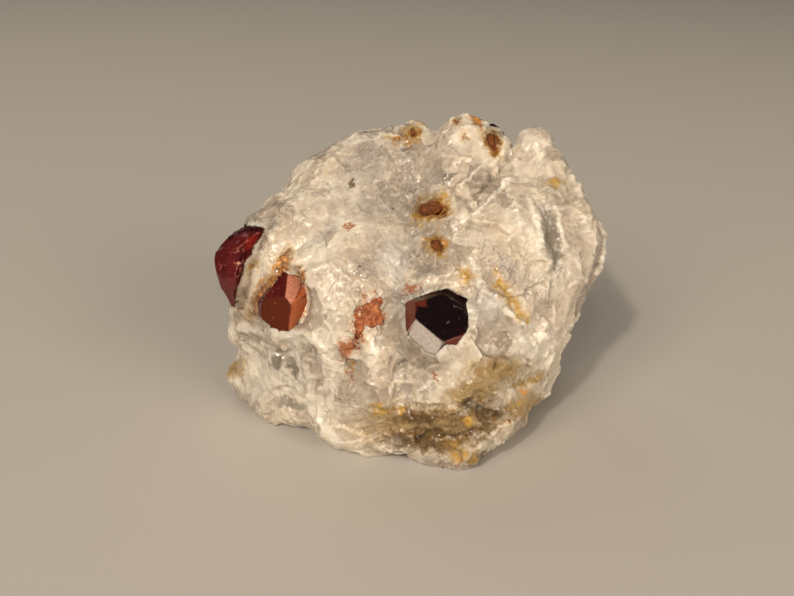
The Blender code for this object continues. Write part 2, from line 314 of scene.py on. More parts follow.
# listed relief: each line is (places, half width, height); a height below zero is a groove
LINES = {
    "long valley": (((0.7, 19.7), (1.1, 16.2), (1.1, 12.4), (2.3, 9.3), (1.5, 5.9), (0.2, 2.5), (0.0, -1.0),
                     (0.3, -4.8), (0.7, -8.7), (1.1, -11.7)), 1.7, -1.1),
    "valley left of the crest": (((4.6, 20.4), (3.2, 16.2), (2.5, 12.0)), 0.9, -0.5),
    "crease under the crest": (((3.0, 10.5), (5.3, 12.4), (8.0, 13.6), (9.9, 16.2)), 0.7, -0.45),
    "notch": (((13.5, 19.6), (13.4, 17.4), (12.6, 15.8), (11.2, 14.8)), 0.75, -1.9),
    "upper fin": (((10.2, 16.0), (8.8, 14.3), (7.4, 12.8)), 0.28, 0.45),
    "middle fin": (((13.2, 13.8), (10.7, 11.3), (8.4, 9.3), (6.6, 8.3)), 0.35, 0.4),
    "left lip of the glassy groove": (((14.9, 11.3), (16.2, 8.6), (16.6, 5.5), (17.4, 3.6)), 0.35, 0.45),
    "right lip of the glassy groove": (((17.4, 12.0), (18.7, 9.0), (19.4, 6.0)), 0.3, 0.35),
    "ridge round the lens": (((8.6, 4.3), (9.4, 1.6), (10.6, 0.3), (12.0, -0.8), (13.3, -2.2), (15.2, -3.3),
                              (17.2, -4.4)), 0.32, 0.5),
    "trough of the ochre band": (((11.0, 2.6), (12.2, 1.4), (13.3, 0.0), (14.6, -1.8)), 0.75, -0.7),
    "edge of the left block": (((-12.6, -3.6), (-11.8, -6.1), (-10.4, -9.2), (-9.8, -12.3), (-8.5, -14.7),
                                (-6.7, -16.8)), 0.45, 0.55),
    "fold left of the edge": (((-13.2, -5.2), (-12.6, -9.0), (-11.4, -12.0), (-10.2, -14.6)), 1.0, -0.8),
    "shelf under the orange garnet": (((-18.8, -3.6), (-16.0, -3.9), (-13.4, -4.6), (-11.2, -4.0)), 0.5, 0.4),
    "fold under the shelf": (((-18.6, -6.4), (-15.0, -6.4), (-12.6, -6.2)), 0.9, -0.5),
    "foot of the left block": (((-16.0, -10.6), (-13.0, -11.7), (-10.6, -12.6)), 0.55, -0.5),
    "right side of the pale bump": (((-0.2, -2.6), (0.0, -5.0), (-0.1, -8.0), (-0.8, -10.4)), 0.5, 0.4),
    "left side of the pale bump": (((-4.4, -4.6), (-4.9, -7.0), (-5.3, -9.5)), 0.5, -0.35),
    "upper crack": (((-3.2, -12.7), (-0.8, -13.2), (2.3, -13.0), (5.0, -12.9), (6.9, -13.3), (8.8, -12.8),
                     (10.6, -13.6), (12.6, -13.9)), 0.3, -0.75),
    "lip over the upper crack": (((-1.6, -12.2), (1.6, -12.2), (5.0, -12.0), (8.0, -11.8)), 0.4, 0.3),
    "lower crack": (((-1.6, -16.6), (1.5, -17.0), (3.8, -15.7), (6.1, -16.1), (7.8, -15.6),
                     (10.0, -15.0)), 0.3, -0.7),
    "rusty crack": (((13.6, -9.4), (14.8, -9.6), (16.9, -8.7)), 0.28, -0.5),
    "left slope ridge": (((-14.6, 7.4), (-11.6, 10.6), (-9.2, 13.6), (-6.2, 16.6)), 1.0, 0.35),
    "left slope groove": (((-13.6, 4.9), (-10.4, 6.2), (-7.6, 8.8), (-5.0, 11.6)), 0.8, -0.4),
    "short groove": (((-11.3, 3.6), (-9.6, 4.6), (-8.2, 6.4)), 0.3, -0.3),
    "cream face edge": (((-9.6, 3.2), (-7.6, 3.6), (-5.4, 2.2)), 0.35, 0.3),
    "lip of the garnet pocket": (((-16.9, -1.0), (-16.3, 1.6), (-14.6, 3.6), (-13.0, 5.0)), 0.45, 0.5),
    "white rib": (((5.1, -9.3), (3.5, -9.9), (2.2, -11.2)), 0.25, 0.25),
    "shadowed flute": (((2.2, -5.9), (2.6, -8.8), (2.5, -11.4)), 0.4, -0.3),
}

# listed bumps and hollows: (middle, radii, turn, height)
MOUNDS = {
    "right dome": ((11.5, 9.5), (6.5, 6.5), 0, 0.8),
    "crest dome": ((6.6, 15.6), (3.0, 3.2), 0, 0.7),
    "left hump": ((-3.6, 13.0), (3.6, 5.0), -30, 0.5),
    "pale bump": ((-2.6, -6.9), (2.1, 4.2), 0, 0.9),
    "lens": ((10.1, -1.3), (2.7, 3.0), 20, 0.55),
    "cream face": ((-7.2, 0.8), (2.8, 3.4), 0, 0.2),
    "glassy groove": ((17.7, 7.2), (1.1, 4.2), 8, -0.9),
    "ochre pocket": ((8.0, 2.8), (1.0, 1.2), 0, -0.8),
    "crevice": ((8.2, -12.3), (1.1, 0.5), 0, -1.2),
    "pit behind the crest": ((10.9, 17.7), (1.2, 1.8), 25, -0.9),
    "hollow beside the orange garnet": ((-15.3, 0.8), (1.1, 2.4), -40, -0.9),
    "first window": ((-13.7, -7.3), (0.8, 1.0), 0, -0.5),
    "second window": ((-11.9, -7.8), (0.7, 1.6), 20, -0.5),
    "hollow above the dark garnet": ((3.0, 3.4), (2.6, 1.5), 10, -0.5),
    "shadow left of the dark garnet": ((0.4, -1.6), (0.9, 2.6), 0, -0.7),
    "lower right face": ((14.6, -6.3), (2.6, 2.4), -20, 0.4),
    "right brow lump": ((16.7, 17.8), (2.6, 2.2), -35, 1.1),
    "lower edge": ((-1.0, -17.4), (3.8, 2.2), 0, 1.0),
    "lower edge under the brown lump": ((4.8, -19.0), (3.4, 1.8), 0, 0.9),
}


def relief_line(name):
    """The places along one of the listed ridges or grooves."""
    return LINES[name][0]


def wandering_places(points, size, octaves, reach, seeds):
    """The points' places on the sheet, led astray a little, and how far to the right each was led."""
    right, up = on_sheet(points)
    sideways, upwards = [noise_at(points, size, octaves, seed) for seed in seeds]
    return right + reach * sideways, up + reach * upwards, sideways


def hand_relief(grid, facing_eye):
    """Raises the ridges and mounds and cuts the grooves and hollows that show from the front."""
    points, normals = grid.points, grid.normals(CALM_ROUNDS)
    right, up, wander = wandering_places(points, size=1.6, octaves=3, reach=0.35, seeds=(11, 12))
    height = np.zeros(len(points))
    for line, half_width, rise in LINES.values():
        away, _ = nearest_on_line(right, up, line)
        height += rise * np.exp(-((away / half_width) ** 2)) * (0.8 + 0.5 * wander)
    for middle, radii, turn, rise in MOUNDS.values():
        height += rise * smoothstep(0.0, 1.0, blob(right, up, middle, radii, turn))
    grid.points = points + (height * facing_eye)[:, None] * normals


# the garnets' windows in the rock, as outlines on the sheet
WINDOWS = {
    "garnet_dark": [
        (0.97, -0.57), (2.10, -0.01), (4.36, 0.85), (5.81, 1.11), (6.94, 0.48), (8.26, -0.12),
        (7.99, -0.57), (8.07, -1.22), (8.23, -2.18), (8.15, -2.83), (8.23, -3.31), (7.91, -3.96),
        (7.42, -4.60), (6.78, -5.44), (5.65, -5.28), (4.52, -6.38), (4.20, -6.46), (3.23, -6.09),
        (2.26, -5.09), (1.37, -4.36), (1.10, -3.64), (0.97, -2.51),
    ],
    "garnet_orange": [
        (-12.93, 3.05), (-12.31, 2.70), (-11.50, 2.67), (-11.27, 3.28), (-10.98, 2.53), (-10.64, 1.96),
        (-10.60, 1.09), (-10.28, 0.23), (-10.35, -0.58), (-11.04, -2.32), (-11.68, -3.34), (-12.48, -3.91),
        (-13.69, -3.68), (-14.61, -3.22), (-15.58, -2.41), (-15.69, -1.04), (-15.12, 0.23), (-13.93, 1.96),
    ],
    "garnet_left": [
        (-18.55, 7.74), (-17.70, 8.08), (-16.90, 8.28), (-14.90, 8.11), (-15.30, 7.48), (-16.33, 6.27),
        (-16.79, 5.06), (-17.62, 3.97), (-17.71, 3.28), (-17.94, 2.01), (-18.63, 1.15), (-19.01, 0.28),
        (-18.60, -0.58), (-18.88, -1.20), (-19.80, 0.40), (-20.42, 1.58), (-20.87, 2.77), (-21.02, 4.28),
        (-20.87, 5.26), (-19.98, 6.38),
    ],
    "garnet_broken": [
        (-5.06, -2.19), (-4.60, -1.30), (-3.91, -0.69), (-3.10, -0.55), (-2.76, -0.23), (-1.90, 0.23),
        (-1.61, -0.46), (-1.96, -1.15), (-1.50, -2.30), (-1.61, -2.99), (-3.11, -3.34), (-3.80, -3.22),
        (-4.26, -4.31), (-4.37, -5.06), (-4.83, -6.33), (-5.10, -5.40), (-4.70, -3.60),
    ],
}
RUSTY_GARNETS = ("garnet_bead", "garnet_upper", "garnet_pit", "garnet_crest")
SMALL_SHARE = 0.80  # how much of a rusty garnet's outline shows
# radii and turn of the patch that shows, where it isn't like the garnet's outline
OWN_PATCH = {"garnet_pit": ((0.42, 1.15), 30), "garnet_crest": ((0.42, 0.38), 0)}
# how far a large garnet's window wanders from its outline, and over what length
RAGGED_LENGTH, RAGGED_SEED = 0.6, 3.0
RAGGED = {"garnet_dark": 0.05, "garnet_orange": 0.12, "garnet_left": 0.14, "garnet_broken": 0.34}
# how far the rock stands back from a garnet's face at the rim; below zero it laps over the garnet
STAND_BACK = {"garnet_dark": 0.10, "garnet_orange": -0.20, "garnet_left": -0.25, "garnet_broken": -0.05}
LOBES, LOBE_SIZE = 1.5, 0.5  # how many lobes a rusty garnet's patch tends to have, and how large they are
SMALL_STAND_BACK = -0.08
# furthest that a rusty garnet's rim lies behind its face, which is looked for this far in from its outline
SMALL_SUNK, INWARD = 0.5, 0.2
RIM_UNEVEN, UNEVEN_LENGTH = 0.15, 0.6
BEHIND = 0.1  # how far behind a whole garnet the rock passes
# rock inside a window lies this far behind the garnet's face; for the others it is behind the whole garnet
SEE_THROUGH = {"garnet_orange": 0.9, "garnet_left": 1.2}
RIM_SNAP = 0.11  # points this close to a window's outline move onto it
# how far round a window the rock comes to meet the garnet
RIM_REACH = {"garnet_dark": 2.4, "garnet_orange": 1.4, "garnet_left": 1.2, "garnet_broken": 1.8}
SMALL_REACH = 0.85
PUSH_BACK = 0.4  # furthest that the rock round a window steps back to a garnet's face
BRING_UP = 2.4  # furthest that it comes forward to one
# how far the surface faces the eye where a window's rim has its full effect, and where a window ends
WELL_SEEN, OUT_OF_SIGHT = 0.3, -0.2
WINDOW_MARGIN = 4.0  # how far past a garnet's box its window can reach
PAST_GARNET = 40.0  # beyond a garnet's far side, from its near one
OUTLINE_STEP = 0.25
OUTLINE_STEPS = 24


def ragged_outline(outline, amount):
    """The outline in short steps, each moved a little to one side."""
    places = []
    for (r0, u0), (r1, u1) in zip(outline, outline[1:] + outline[:1]):
        length = math.hypot(r1 - r0, u1 - u0)
        steps = max(1, round(length / OUTLINE_STEP))
        for step in range(steps):
            right, up = r0 + (r1 - r0) * step / steps, u0 + (u1 - u0) * step / steps
            aside = amount * noise.fractal(Vector((right, up, RAGGED_SEED)) / RAGGED_LENGTH, 1.0, 2.0, 3)
            places.append((right - aside * (u1 - u0) / length, up + aside * (r1 - r0) / length))
    return places


def garnet_outline(name):
    """The outline on the sheet of what shows of a garnet."""
    if name in WINDOWS:
        return ragged_outline(WINDOWS[name], RAGGED[name])
    right, up = on_sheet(node_mesh(name)[0])
    middle = np.array((right.min() + right.max(), up.min() + up.max())) / 2
    radii, turn = np.array((np.ptp(right), np.ptp(up))) / 2 * SMALL_SHARE, 0
    if name in OWN_PATCH:
        radii, turn = OWN_PATCH[name]
    across = np.array((math.cos(math.radians(turn)), math.sin(math.radians(turn))))
    along = np.array((-across[1], across[0]))
    outline = []
    for step in range(OUTLINE_STEPS):
        angle = math.tau * step / OUTLINE_STEPS
        way = LOBES * math.cos(angle), LOBES * math.sin(angle)
        reach = 1 + LOBE_SIZE * noise.noise(Vector((*way, middle[0])))
        place = middle + reach * (radii[0] * math.cos(angle) * across + radii[1] * math.sin(angle) * along)
        outline.append(tuple(place))
    return outline


def face_near(tree, spot, middle, least):
    """How far from the eye a garnet's face is, at least this share of the way from its outline inwards."""
    for inward in (least, 0.1, 0.2, 0.35, 0.5, 1.0):
        right, up = spot + (middle - spot) * inward
        arm = Vector(SIGHT * SHEET_DISTANCE + SHEET_RIGHT * right + SHEET_UP * up)
        entry = tree.ray_cast(Vector(EYE), arm.normalized())[3]
        if entry is not None:
            return entry
    raise RuntimeError("a garnet's window doesn't show it")


def open_windows(grid):
    """Pushes the rock behind each garnet inside its window, and brings it to the garnet's face round it."""
    points = grid.points
    normals = grid.normals()
    eye = Vector(EYE)
    for name in GARNET_NAMES:
        if name == BEHIND_THE_CREST:
            continue
        tree = tree_of(name)
        solid = node_mesh(name)[0]
        towards = ((EYE - points) * normals).sum(axis=1) / np.linalg.norm(points - EYE, axis=1)
        facing = smoothstep(0.0, WELL_SEEN, towards)
        low, high = solid.min(axis=0) - WINDOW_MARGIN, solid.max(axis=0) + WINDOW_MARGIN
        chosen = ((towards > OUT_OF_SIGHT) & np.all((points > low) & (points < high), axis=1)).nonzero()[0]
        outline = garnet_outline(name)
        middle = np.mean(outline, axis=0)
        right, up = on_sheet(points[chosen])
        inside = inside_outline(right, up, outline)
        away, place = nearest_on_outline(right, up, outline)
        rim = away < RIM_SNAP
        shift = np.where(rim, place - np.array((right, up)), 0.0)
        depth = ((points[chosen] - EYE) @ SIGHT) / SHEET_DISTANCE
        points[chosen] += depth[:, None] * (shift[0][:, None] * SHEET_RIGHT + shift[1][:, None] * SHEET_UP)
        stand_back = STAND_BACK.get(name, SMALL_STAND_BACK)
        reach_round = RIM_REACH.get(name, SMALL_REACH)
        for index, is_inside, is_rim, gap, spot in zip(chosen, inside, rim, away, place.T):
            arm = Vector(points[index] - EYE)
            own = arm.length
            ray = arm / own
            if is_inside and not is_rim:
                entry = tree.ray_cast(eye, ray)[3]
                if entry is None:
                    continue
                past = entry + PAST_GARNET
                leaving = past - tree.ray_cast(eye + ray * past, -ray)[3]
                deep = entry + SEE_THROUGH[name] if name in SEE_THROUGH else leaving + BEHIND
                own = max(own, deep)
            elif gap < reach_round:
                entry = face_near(tree, spot, middle, 0.0)
                if name not in WINDOWS:
                    entry = min(entry, face_near(tree, spot, middle, INWARD) + SMALL_SUNK)
                uneven = RIM_UNEVEN * noise.noise(Vector(points[index]) / UNEVEN_LENGTH)
                weight = (1 - float(smoothstep(0.0, reach_round, gap))) * facing[index]
                move = entry + stand_back + uneven - own
                own += weight * min(max(move, -BRING_UP), PUSH_BACK)
            points[index] = EYE + np.array(ray) * own


# marks on the rock: attribute name to blobs of (middle, radii, turn)
STAINS = {
    "rust": (
        ((3.85, 10.1), (2.2, 0.9), 24), ((4.5, 6.0), (1.0, 0.9), 0), ((0.3, 18.3), (1.4, 0.7), -10),
        ((1.9, 18.9), (0.9, 0.8), 0), ((6.7, 20.2), (0.8, 0.45), 20), ((7.8, 18.6), (0.4, 0.7), 0),
        ((9.2, 20.3), (1.3, 0.5), -55), ((11.2, 17.2), (0.5, 1.0), 40), ((12.6, -14.0), (1.0, 0.3), 8),
        ((-15.2, 0.6), (1.1, 3.2), -38),
    ),
    "amber": (
        ((5.4, 6.2), (0.4, 0.7), 0), ((0.3, 18.5), (1.0, 0.45), -10), ((9.1, 20.4), (0.3, 1.1), 30),
        ((-15.9, -1.0), (0.35, 0.6), 0), ((-5.0, -7.8), (0.3, 0.8), 0), ((14.6, -10.8), (0.8, 0.3), 0),
        ((7.4, -18.8), (1.0, 0.5), 0),
    ),
    "brick": (
        ((-3.2, -1.7), (1.9, 2.4), 0), ((-4.6, -4.6), (0.8, 1.8), 10), ((-5.9, -6.0), (1.2, 1.5), 0),
        ((-5.2, -8.9), (0.4, 1.3), 0), ((1.5, 1.0), (1.2, 0.6), 25), ((-5.4, 8.2), (1.1, 0.3), 20),
        ((-10.9, 2.6), (0.5, 1.4), 15), ((4.5, -9.0), (0.3, 0.9), 30),
    ),
    "taupe": (
        ((0.8, -9.0), (1.7, 3.8), 0), ((3.0, 8.6), (2.2, 3.0), 0), ((-10.0, 9.6), (5.6, 2.6), 42),
        ((11.8, 3.0), (4.4, 1.8), -20), ((16.6, 0.2), (3.0, 3.4), 0), ((4.0, 4.4), (3.4, 2.0), 0),
        ((21.0, 5.0), (2.6, 6.0), 0), ((7.0, 13.6), (2.4, 2.0), 30), ((10.4, 8.6), (1.6, 2.8), -40),
        ((15.4, 17.4), (2.6, 2.4), -30), ((7.6, 6.6), (2.2, 1.6), 40), ((-8.2, 3.2), (2.2, 1.4), 20),
        ((-7.0, 0.4), (2.8, 3.2), 0), ((1.4, 16.8), (1.2, 2.6), 0), ((1.0, -16.6), (6.0, 1.6), -8),
        ((-4.0, 1.8), (2.4, 2.0), 0), ((14.6, 10.6), (2.6, 2.2), 0),
    ),
    "ochre": (
        ((8.0, 2.6), (1.1, 1.4), 0), ((11.6, 1.8), (0.7, 1.0), 0), ((12.9, 0.1), (1.0, 2.2), 40),
        ((14.3, -2.0), (0.9, 1.2), 20), ((2.2, 20.0), (1.6, 0.6), 5), ((2.6, 9.3), (1.1, 0.8), 30),
        ((5.3, 11.9), (0.8, 0.8), 0), ((-16.9, 3.4), (1.0, 0.6), 50), ((17.9, 13.3), (1.4, 0.6), 10),
        ((-5.3, -7.6), (0.4, 1.0), 0), ((7.9, -3.5), (0.6, 0.4), 20), ((-1.8, -12.9), (1.4, 0.6), 0),
        ((7.6, -18.3), (2.0, 0.8), 0), ((6.5, -17.2), (1.0, 1.6), 10), ((8.6, -14.2), (0.9, 0.6), 0),
    ),
    # yellow-brown stained quartz; the broad zones low on the front are also painted shade under the overhang
    "honey": (
        ((11.3, -8.4), (4.2, 1.9), 8), ((9.0, -10.8), (4.0, 1.9), 20), ((4.0, -14.4), (9.5, 2.6), 0),
        ((5.0, -16.6), (5.0, 1.4), 0), ((14.6, -12.4), (2.6, 1.8), 30), ((-18.9, -8.0), (1.6, 1.6), 0),
    ),
    # brown quartz low on the front, darkened further as painted shade under the ledge
    "umber": (
        ((8.6, -13.6), (4.6, 1.1), 5), ((2.2, -13.6), (3.6, 1.1), -4), ((5.0, -16.0), (6.6, 1.6), 4),
        ((7.8, -12.2), (1.0, 0.6), 10), ((9.6, -18.4), (2.6, 1.0), 10), ((-5.1, 13.2), (0.6, 0.4), 0),
    ),
    # grey feldspar, laid on broadly as painted shade too, which darkens the upper slopes
    "smoky": (
        ((-3.2, 15.4), (5.6, 4.0), 35), ((-2.0, 11.0), (4.8, 4.2), 60), ((4.4, 13.6), (2.0, 2.4), 0),
        ((0.9, 16.0), (1.8, 4.2), 0), ((1.6, 9.0), (2.0, 5.0), -10), ((-2.2, 14.8), (3.4, 2.2), 40),
        ((-1.4, 5.6), (3.0, 3.2), 0), ((0.6, -6.6), (1.4, 5.0), 0), ((-3.6, 3.6), (2.4, 1.6), -20),
        ((3.4, 3.0), (2.2, 1.2), 0), ((-8.6, 7.2), (2.6, 1.0), 40), ((3.2, -9.6), (1.6, 2.6), 0),
        ((-14.4, 8.4), (2.0, 0.8), 40), ((12.4, 3.4), (2.4, 1.4), -30), ((17.9, 7.6), (1.5, 4.6), 8),
    ),
    "clear": (
        ((17.7, 7.0), (1.2, 4.6), 8), ((-13.8, -7.3), (0.9, 1.1), 0), ((-11.9, -7.8), (0.75, 1.8), 20),
        ((-12.6, -12.0), (2.4, 0.7), -10), ((9.6, 12.4), (1.2, 0.4), 40), ((8.6, -12.4), (1.3, 0.6), 0),
        ((6.0, 14.0), (1.2, 0.6), 20),
    ),
    "bluish": (((10.2, -1.2), (2.9, 3.2), 20), ((-0.4, 4.0), (2.4, 3.6), 10)),
    # white quartz, and painted light: the lower right face that the light falls on is whitened here
    "pale": (
        ((-10.2, -10.6), (1.0, 4.8), 15), ((15.2, -5.6), (3.2, 3.2), -20), ((-16.6, 1.2), (1.6, 2.8), -10),
        ((-2.6, -6.6), (1.3, 3.2), 0), ((-14.6, -9.4), (5.0, 4.2), -20), ((7.2, 18.4), (1.4, 1.0), 0),
        ((-17.0, 7.6), (3.4, 0.8), 38), ((-11.0, -4.2), (4.0, 0.9), 0),
    ),
    "soot": (
        ((-9.8, 5.55), (0.14, 0.1), 0), ((-4.2, 3.6), (0.13, 0.13), 0), ((-0.6, 10.6), (0.1, 0.1), 0),
        ((-3.4, 12.2), (0.1, 0.08), 0), ((2.6, 7.4), (0.1, 0.1), 0), ((-4.0, 8.95), (0.6, 0.08), 5),
    ),
}


# longer marks: attribute name to (places, half width)
STREAKS = {
    "rust": (
        (((-12.5, 5.1), (-13.4, 3.5), (-14.4, 2.1), (-15.7, 0.6), (-16.3, -1.1), (-16.0, -2.0)), 0.85),
        (((-12.7, 4.3), (-13.4, 2.9), (-14.4, 1.6), (-15.3, 0.4), (-15.9, -0.9)), 0.6),
        (((-11.4, 3.6), (-11.1, 2.6), (-10.7, 1.9)), 0.3),
        (((9.0, 20.6), (9.4, 19.5)), 0.3),
    ),
    "honey": (
        (((13.6, -10.2), (15.0, -9.9), (16.6, -8.9)), 0.5),
    ),
    "ochre": (
        (((11.2, 3.2), (12.4, 1.2), (13.2, -0.4), (14.2, -2.0)), 0.55),
        (((-2.6, -12.3), (-1.0, -12.8), (0.6, -13.0)), 0.35),
        (((12.2, -13.0), (14.6, -12.0)), 0.25),
    ),
    "amber": (
        (((-12.6, 4.6), (-13.5, 3.1), (-14.5, 1.7), (-15.6, 0.3)), 0.28),
        (((-13.3, 4.9), (-14.3, 3.3), (-15.6, 1.9), (-16.6, 0.4)), 0.22),
        (((-10.7, 1.6), (-10.4, 0.2), (-10.6, -1.1), (-11.2, -2.6)), 0.25),
    ),
    # white edges of quartz, whitened further as painted highlights along the ridges
    "pale": (
        (relief_line("edge of the left block"), 0.9),
        (relief_line("ridge round the lens"), 0.45),
        (relief_line("left lip of the glassy groove"), 0.4),
        (relief_line("right lip of the glassy groove"), 0.35),
        (relief_line("middle fin"), 0.35),
        (relief_line("upper fin"), 0.3),
        (((7.6, 4.2), (7.4, 2.6), (7.9, 1.6), (8.9, 1.7), (9.3, 2.9), (8.8, 4.2)), 0.25),
        (relief_line("white rib"), 0.3),
        (((-18.4, -3.4), (-16.0, -3.8), (-13.4, -4.4), (-10.6, -4.6), (-8.0, -5.6)), 0.55),
    ),
    # painted shade along the long valley and the groove below it
    "smoky": (
        (((0.7, 19.7), (1.1, 16.2), (1.1, 12.4), (2.3, 9.3), (1.5, 5.9), (0.2, 2.5), (0.0, -1.0)), 1.3),
        (((0.2, -2.4), (0.7, -6.0), (0.9, -9.0), (1.3, -11.7)), 0.9),
    ),
}
HALO = 0.9  # how far a rusty garnet stains the rock round it
CREASE_DEPTH = 0.05


def set_marks(mesh, grid, own_facing, tones):
    """Stores each mark on the rock as a number at every point."""
    points = grid.points
    right, up, _ = wandering_places(points, size=1.1, octaves=4, reach=0.55, seeds=(51, 52))
    marks = dict(tones)
    for name, blobs in STAINS.items():
        value = np.full(len(points), UNMARKED)
        for middle, radii, turn in blobs:
            value = np.maximum(value, blob(right, up, middle, radii, turn))
        for line, half_width in STREAKS.get(name, ()):
            away, _ = nearest_on_line(right, up, line)
            value = np.maximum(value, 1.0 - away / half_width)
        marks[name] = UNMARKED + (value - UNMARKED) * own_facing
    halo = np.full(len(points), UNMARKED)
    for name in RUSTY_GARNETS:
        outline = garnet_outline(name)
        away, _ = nearest_on_outline(right, up, outline)
        gap = np.where(inside_outline(right, up, outline), 0.0, away)
        halo = np.maximum(halo, 1.0 - gap / HALO)
    marks["halo"] = UNMARKED + (np.maximum(halo, UNMARKED) - UNMARKED) * own_facing
    marks["behind"] = 1.0 - own_facing
    # how hollow each point is; the rock's colour takes painted shade in hollows and painted highlights on
    # ridges from it
    hollow = ((grid.smoothed_points(3) - points) * grid.normals()).sum(axis=1)
    marks["crease"] = hollow / CREASE_DEPTH
    for name, value in marks.items():
        layer = mesh.attributes.new(name, "FLOAT", "POINT")
        layer.data.foreach_set("value", value.astype(np.float32))


# shader building


class Wire:
    """A socket's value in a shader, so that shader maths reads as plain arithmetic."""

    def __init__(self, graph, socket):
        self.graph = graph
        self.socket = socket

    def math(self, operation, *values):
        return self.graph.node("ShaderNodeMath", {"operation": operation}, dict(enumerate(values)))

    def __add__(self, other):
        return self.math("ADD", self, other)

    def __sub__(self, other):
        return self.math("SUBTRACT", self, other)

    def __rsub__(self, other):
        return self.math("SUBTRACT", other, self)

    def __mul__(self, other):
        return self.math("MULTIPLY", self, other)

    __radd__ = __add__
    __rmul__ = __mul__


class Graph:
    """A material's node tree."""

    def __init__(self, name):
        self.material = bpy.data.materials.new(name)
        self.material.use_nodes = True
        self.tree = self.material.node_tree
        self.tree.nodes.clear()

    def node(self, kind, settings=None, inputs=None, output=0):
        """Adds a node, sets it up, feeds its sockets and gives the asked output."""
        made = self.tree.nodes.new(kind)
        for name, value in (settings or {}).items():
            setattr(made, name, value)
        for key, value in (inputs or {}).items():
            self.feed(made.inputs[key], value)
        return Wire(self, made.outputs[output])

    def feed(self, socket, value):
        """Links a wire to the socket, or sets the socket's value."""
        if isinstance(value, Wire):
            self.tree.links.new(value.socket, socket)
        elif socket.type == "RGBA":
            socket.default_value = (*value, 1.0)
        else:
            socket.default_value = value

    def vector(self, operation, one, other):
        return self.node("ShaderNodeVectorMath", {"operation": operation}, {0: one, 1: other})

    def scaled(self, vector, factor):
        return self.node("ShaderNodeVectorMath", {"operation": "SCALE"}, {0: vector, "Scale": factor})

    def place(self):
        """Where the point is, in millimetres."""
        return self.scaled(self.node("ShaderNodeTexCoord", output="Object"), 1 / MM)

    def mark(self, name):
        """A number that is stored at every point of the mesh."""
        return self.node("ShaderNodeAttribute", {"attribute_name": name}, output="Fac")

    def noise(self, place, size, detail=3.0, roughness=0.55, output=0, warp=0.0):
        """Fractal noise from 0 to 1, with its largest spots about so many millimetres apart."""
        inputs = {
            "Vector": place, "Scale": 1 / size, "Detail": detail, "Roughness": roughness, "Distortion": warp,
        }
        return self.node("ShaderNodeTexNoise", {}, inputs, output)

    def cells(self, place, size, feature="F1", output=0):
        """Random cells about so many millimetres wide."""
        inputs = {"Vector": place, "Scale": 1 / size}
        return self.node("ShaderNodeTexVoronoi", {"feature": feature}, inputs, output)

    def step(self, value, low, high):
        """0 below low, 1 above high, and smooth between."""
        inputs = {"Value": value, "From Min": low, "From Max": high}
        return self.node("ShaderNodeMapRange", {"interpolation_type": "SMOOTHSTEP"}, inputs)

    def mix(self, share, one, other):
        """One colour where share is 0, and the other where it is 1."""
        return self.node("ShaderNodeMix", {"data_type": "RGBA"}, {0: share, 6: one, 7: other}, 2)

    def bump(self, height, strength, distance, normal=None):
        """A normal for a skin that is rough by the height, at most so many millimetres."""
        inputs = {"Height": height, "Strength": strength, "Distance": distance * MM}
        if normal:
            inputs["Normal"] = normal
        return self.node("ShaderNodeBump", {}, inputs)

    def glinting_normal(self, place, *facets):
        """The surface normal leaned a little, another way in each small cell; facets are (size, lean)."""
        total = self.node("ShaderNodeNewGeometry", output="Normal")
        for size, lean in facets:
            way = self.vector("SUBTRACT", self.cells(place, size, output=1), (0.5, 0.5, 0.5))
            total = self.vector("ADD", total, self.scaled(way, lean))
        return self.node("ShaderNodeVectorMath", {"operation": "NORMALIZE"}, {0: total})

    def drawn_out(self, place, angle, factor):
        """The place as a streaky pattern sees it, with its streaks rising to the right at the angle."""
        inputs = {"Vector": place, "Rotation": (0.0, -math.radians(angle), 0.0), "Scale": (factor, 1.0, 1.0)}
        return self.node("ShaderNodeMapping", {"vector_type": "TEXTURE"}, inputs)

    def surface(self, inputs):
        """What light does on the surface and just under it."""
        return self.node("ShaderNodeBsdfPrincipled", {}, inputs)

    def finish(self, shader, volume=None):
        """Puts the shader on the material, and what fills the inside if anything does."""
        output = self.tree.nodes.new("ShaderNodeOutputMaterial")
        self.feed(output.inputs["Surface"], shader)
        if volume:
            self.feed(output.inputs["Volume"], volume)
        return self.material


# materials


SOOT = (0.01, 0.01, 0.01)
PALE_BITS = (0.74, 0.56, 0.42)  # bits of rock in the crushed garnet
FLOOR_GRAIN = (0.5, 0.47, 0.43)
GARNET_DEPTH = (0.80, 0.06, 0.04)  # the colour that passes a garnet best
QUARTZ_INDEX = 1.54
GARNET_INDEX = 1.79


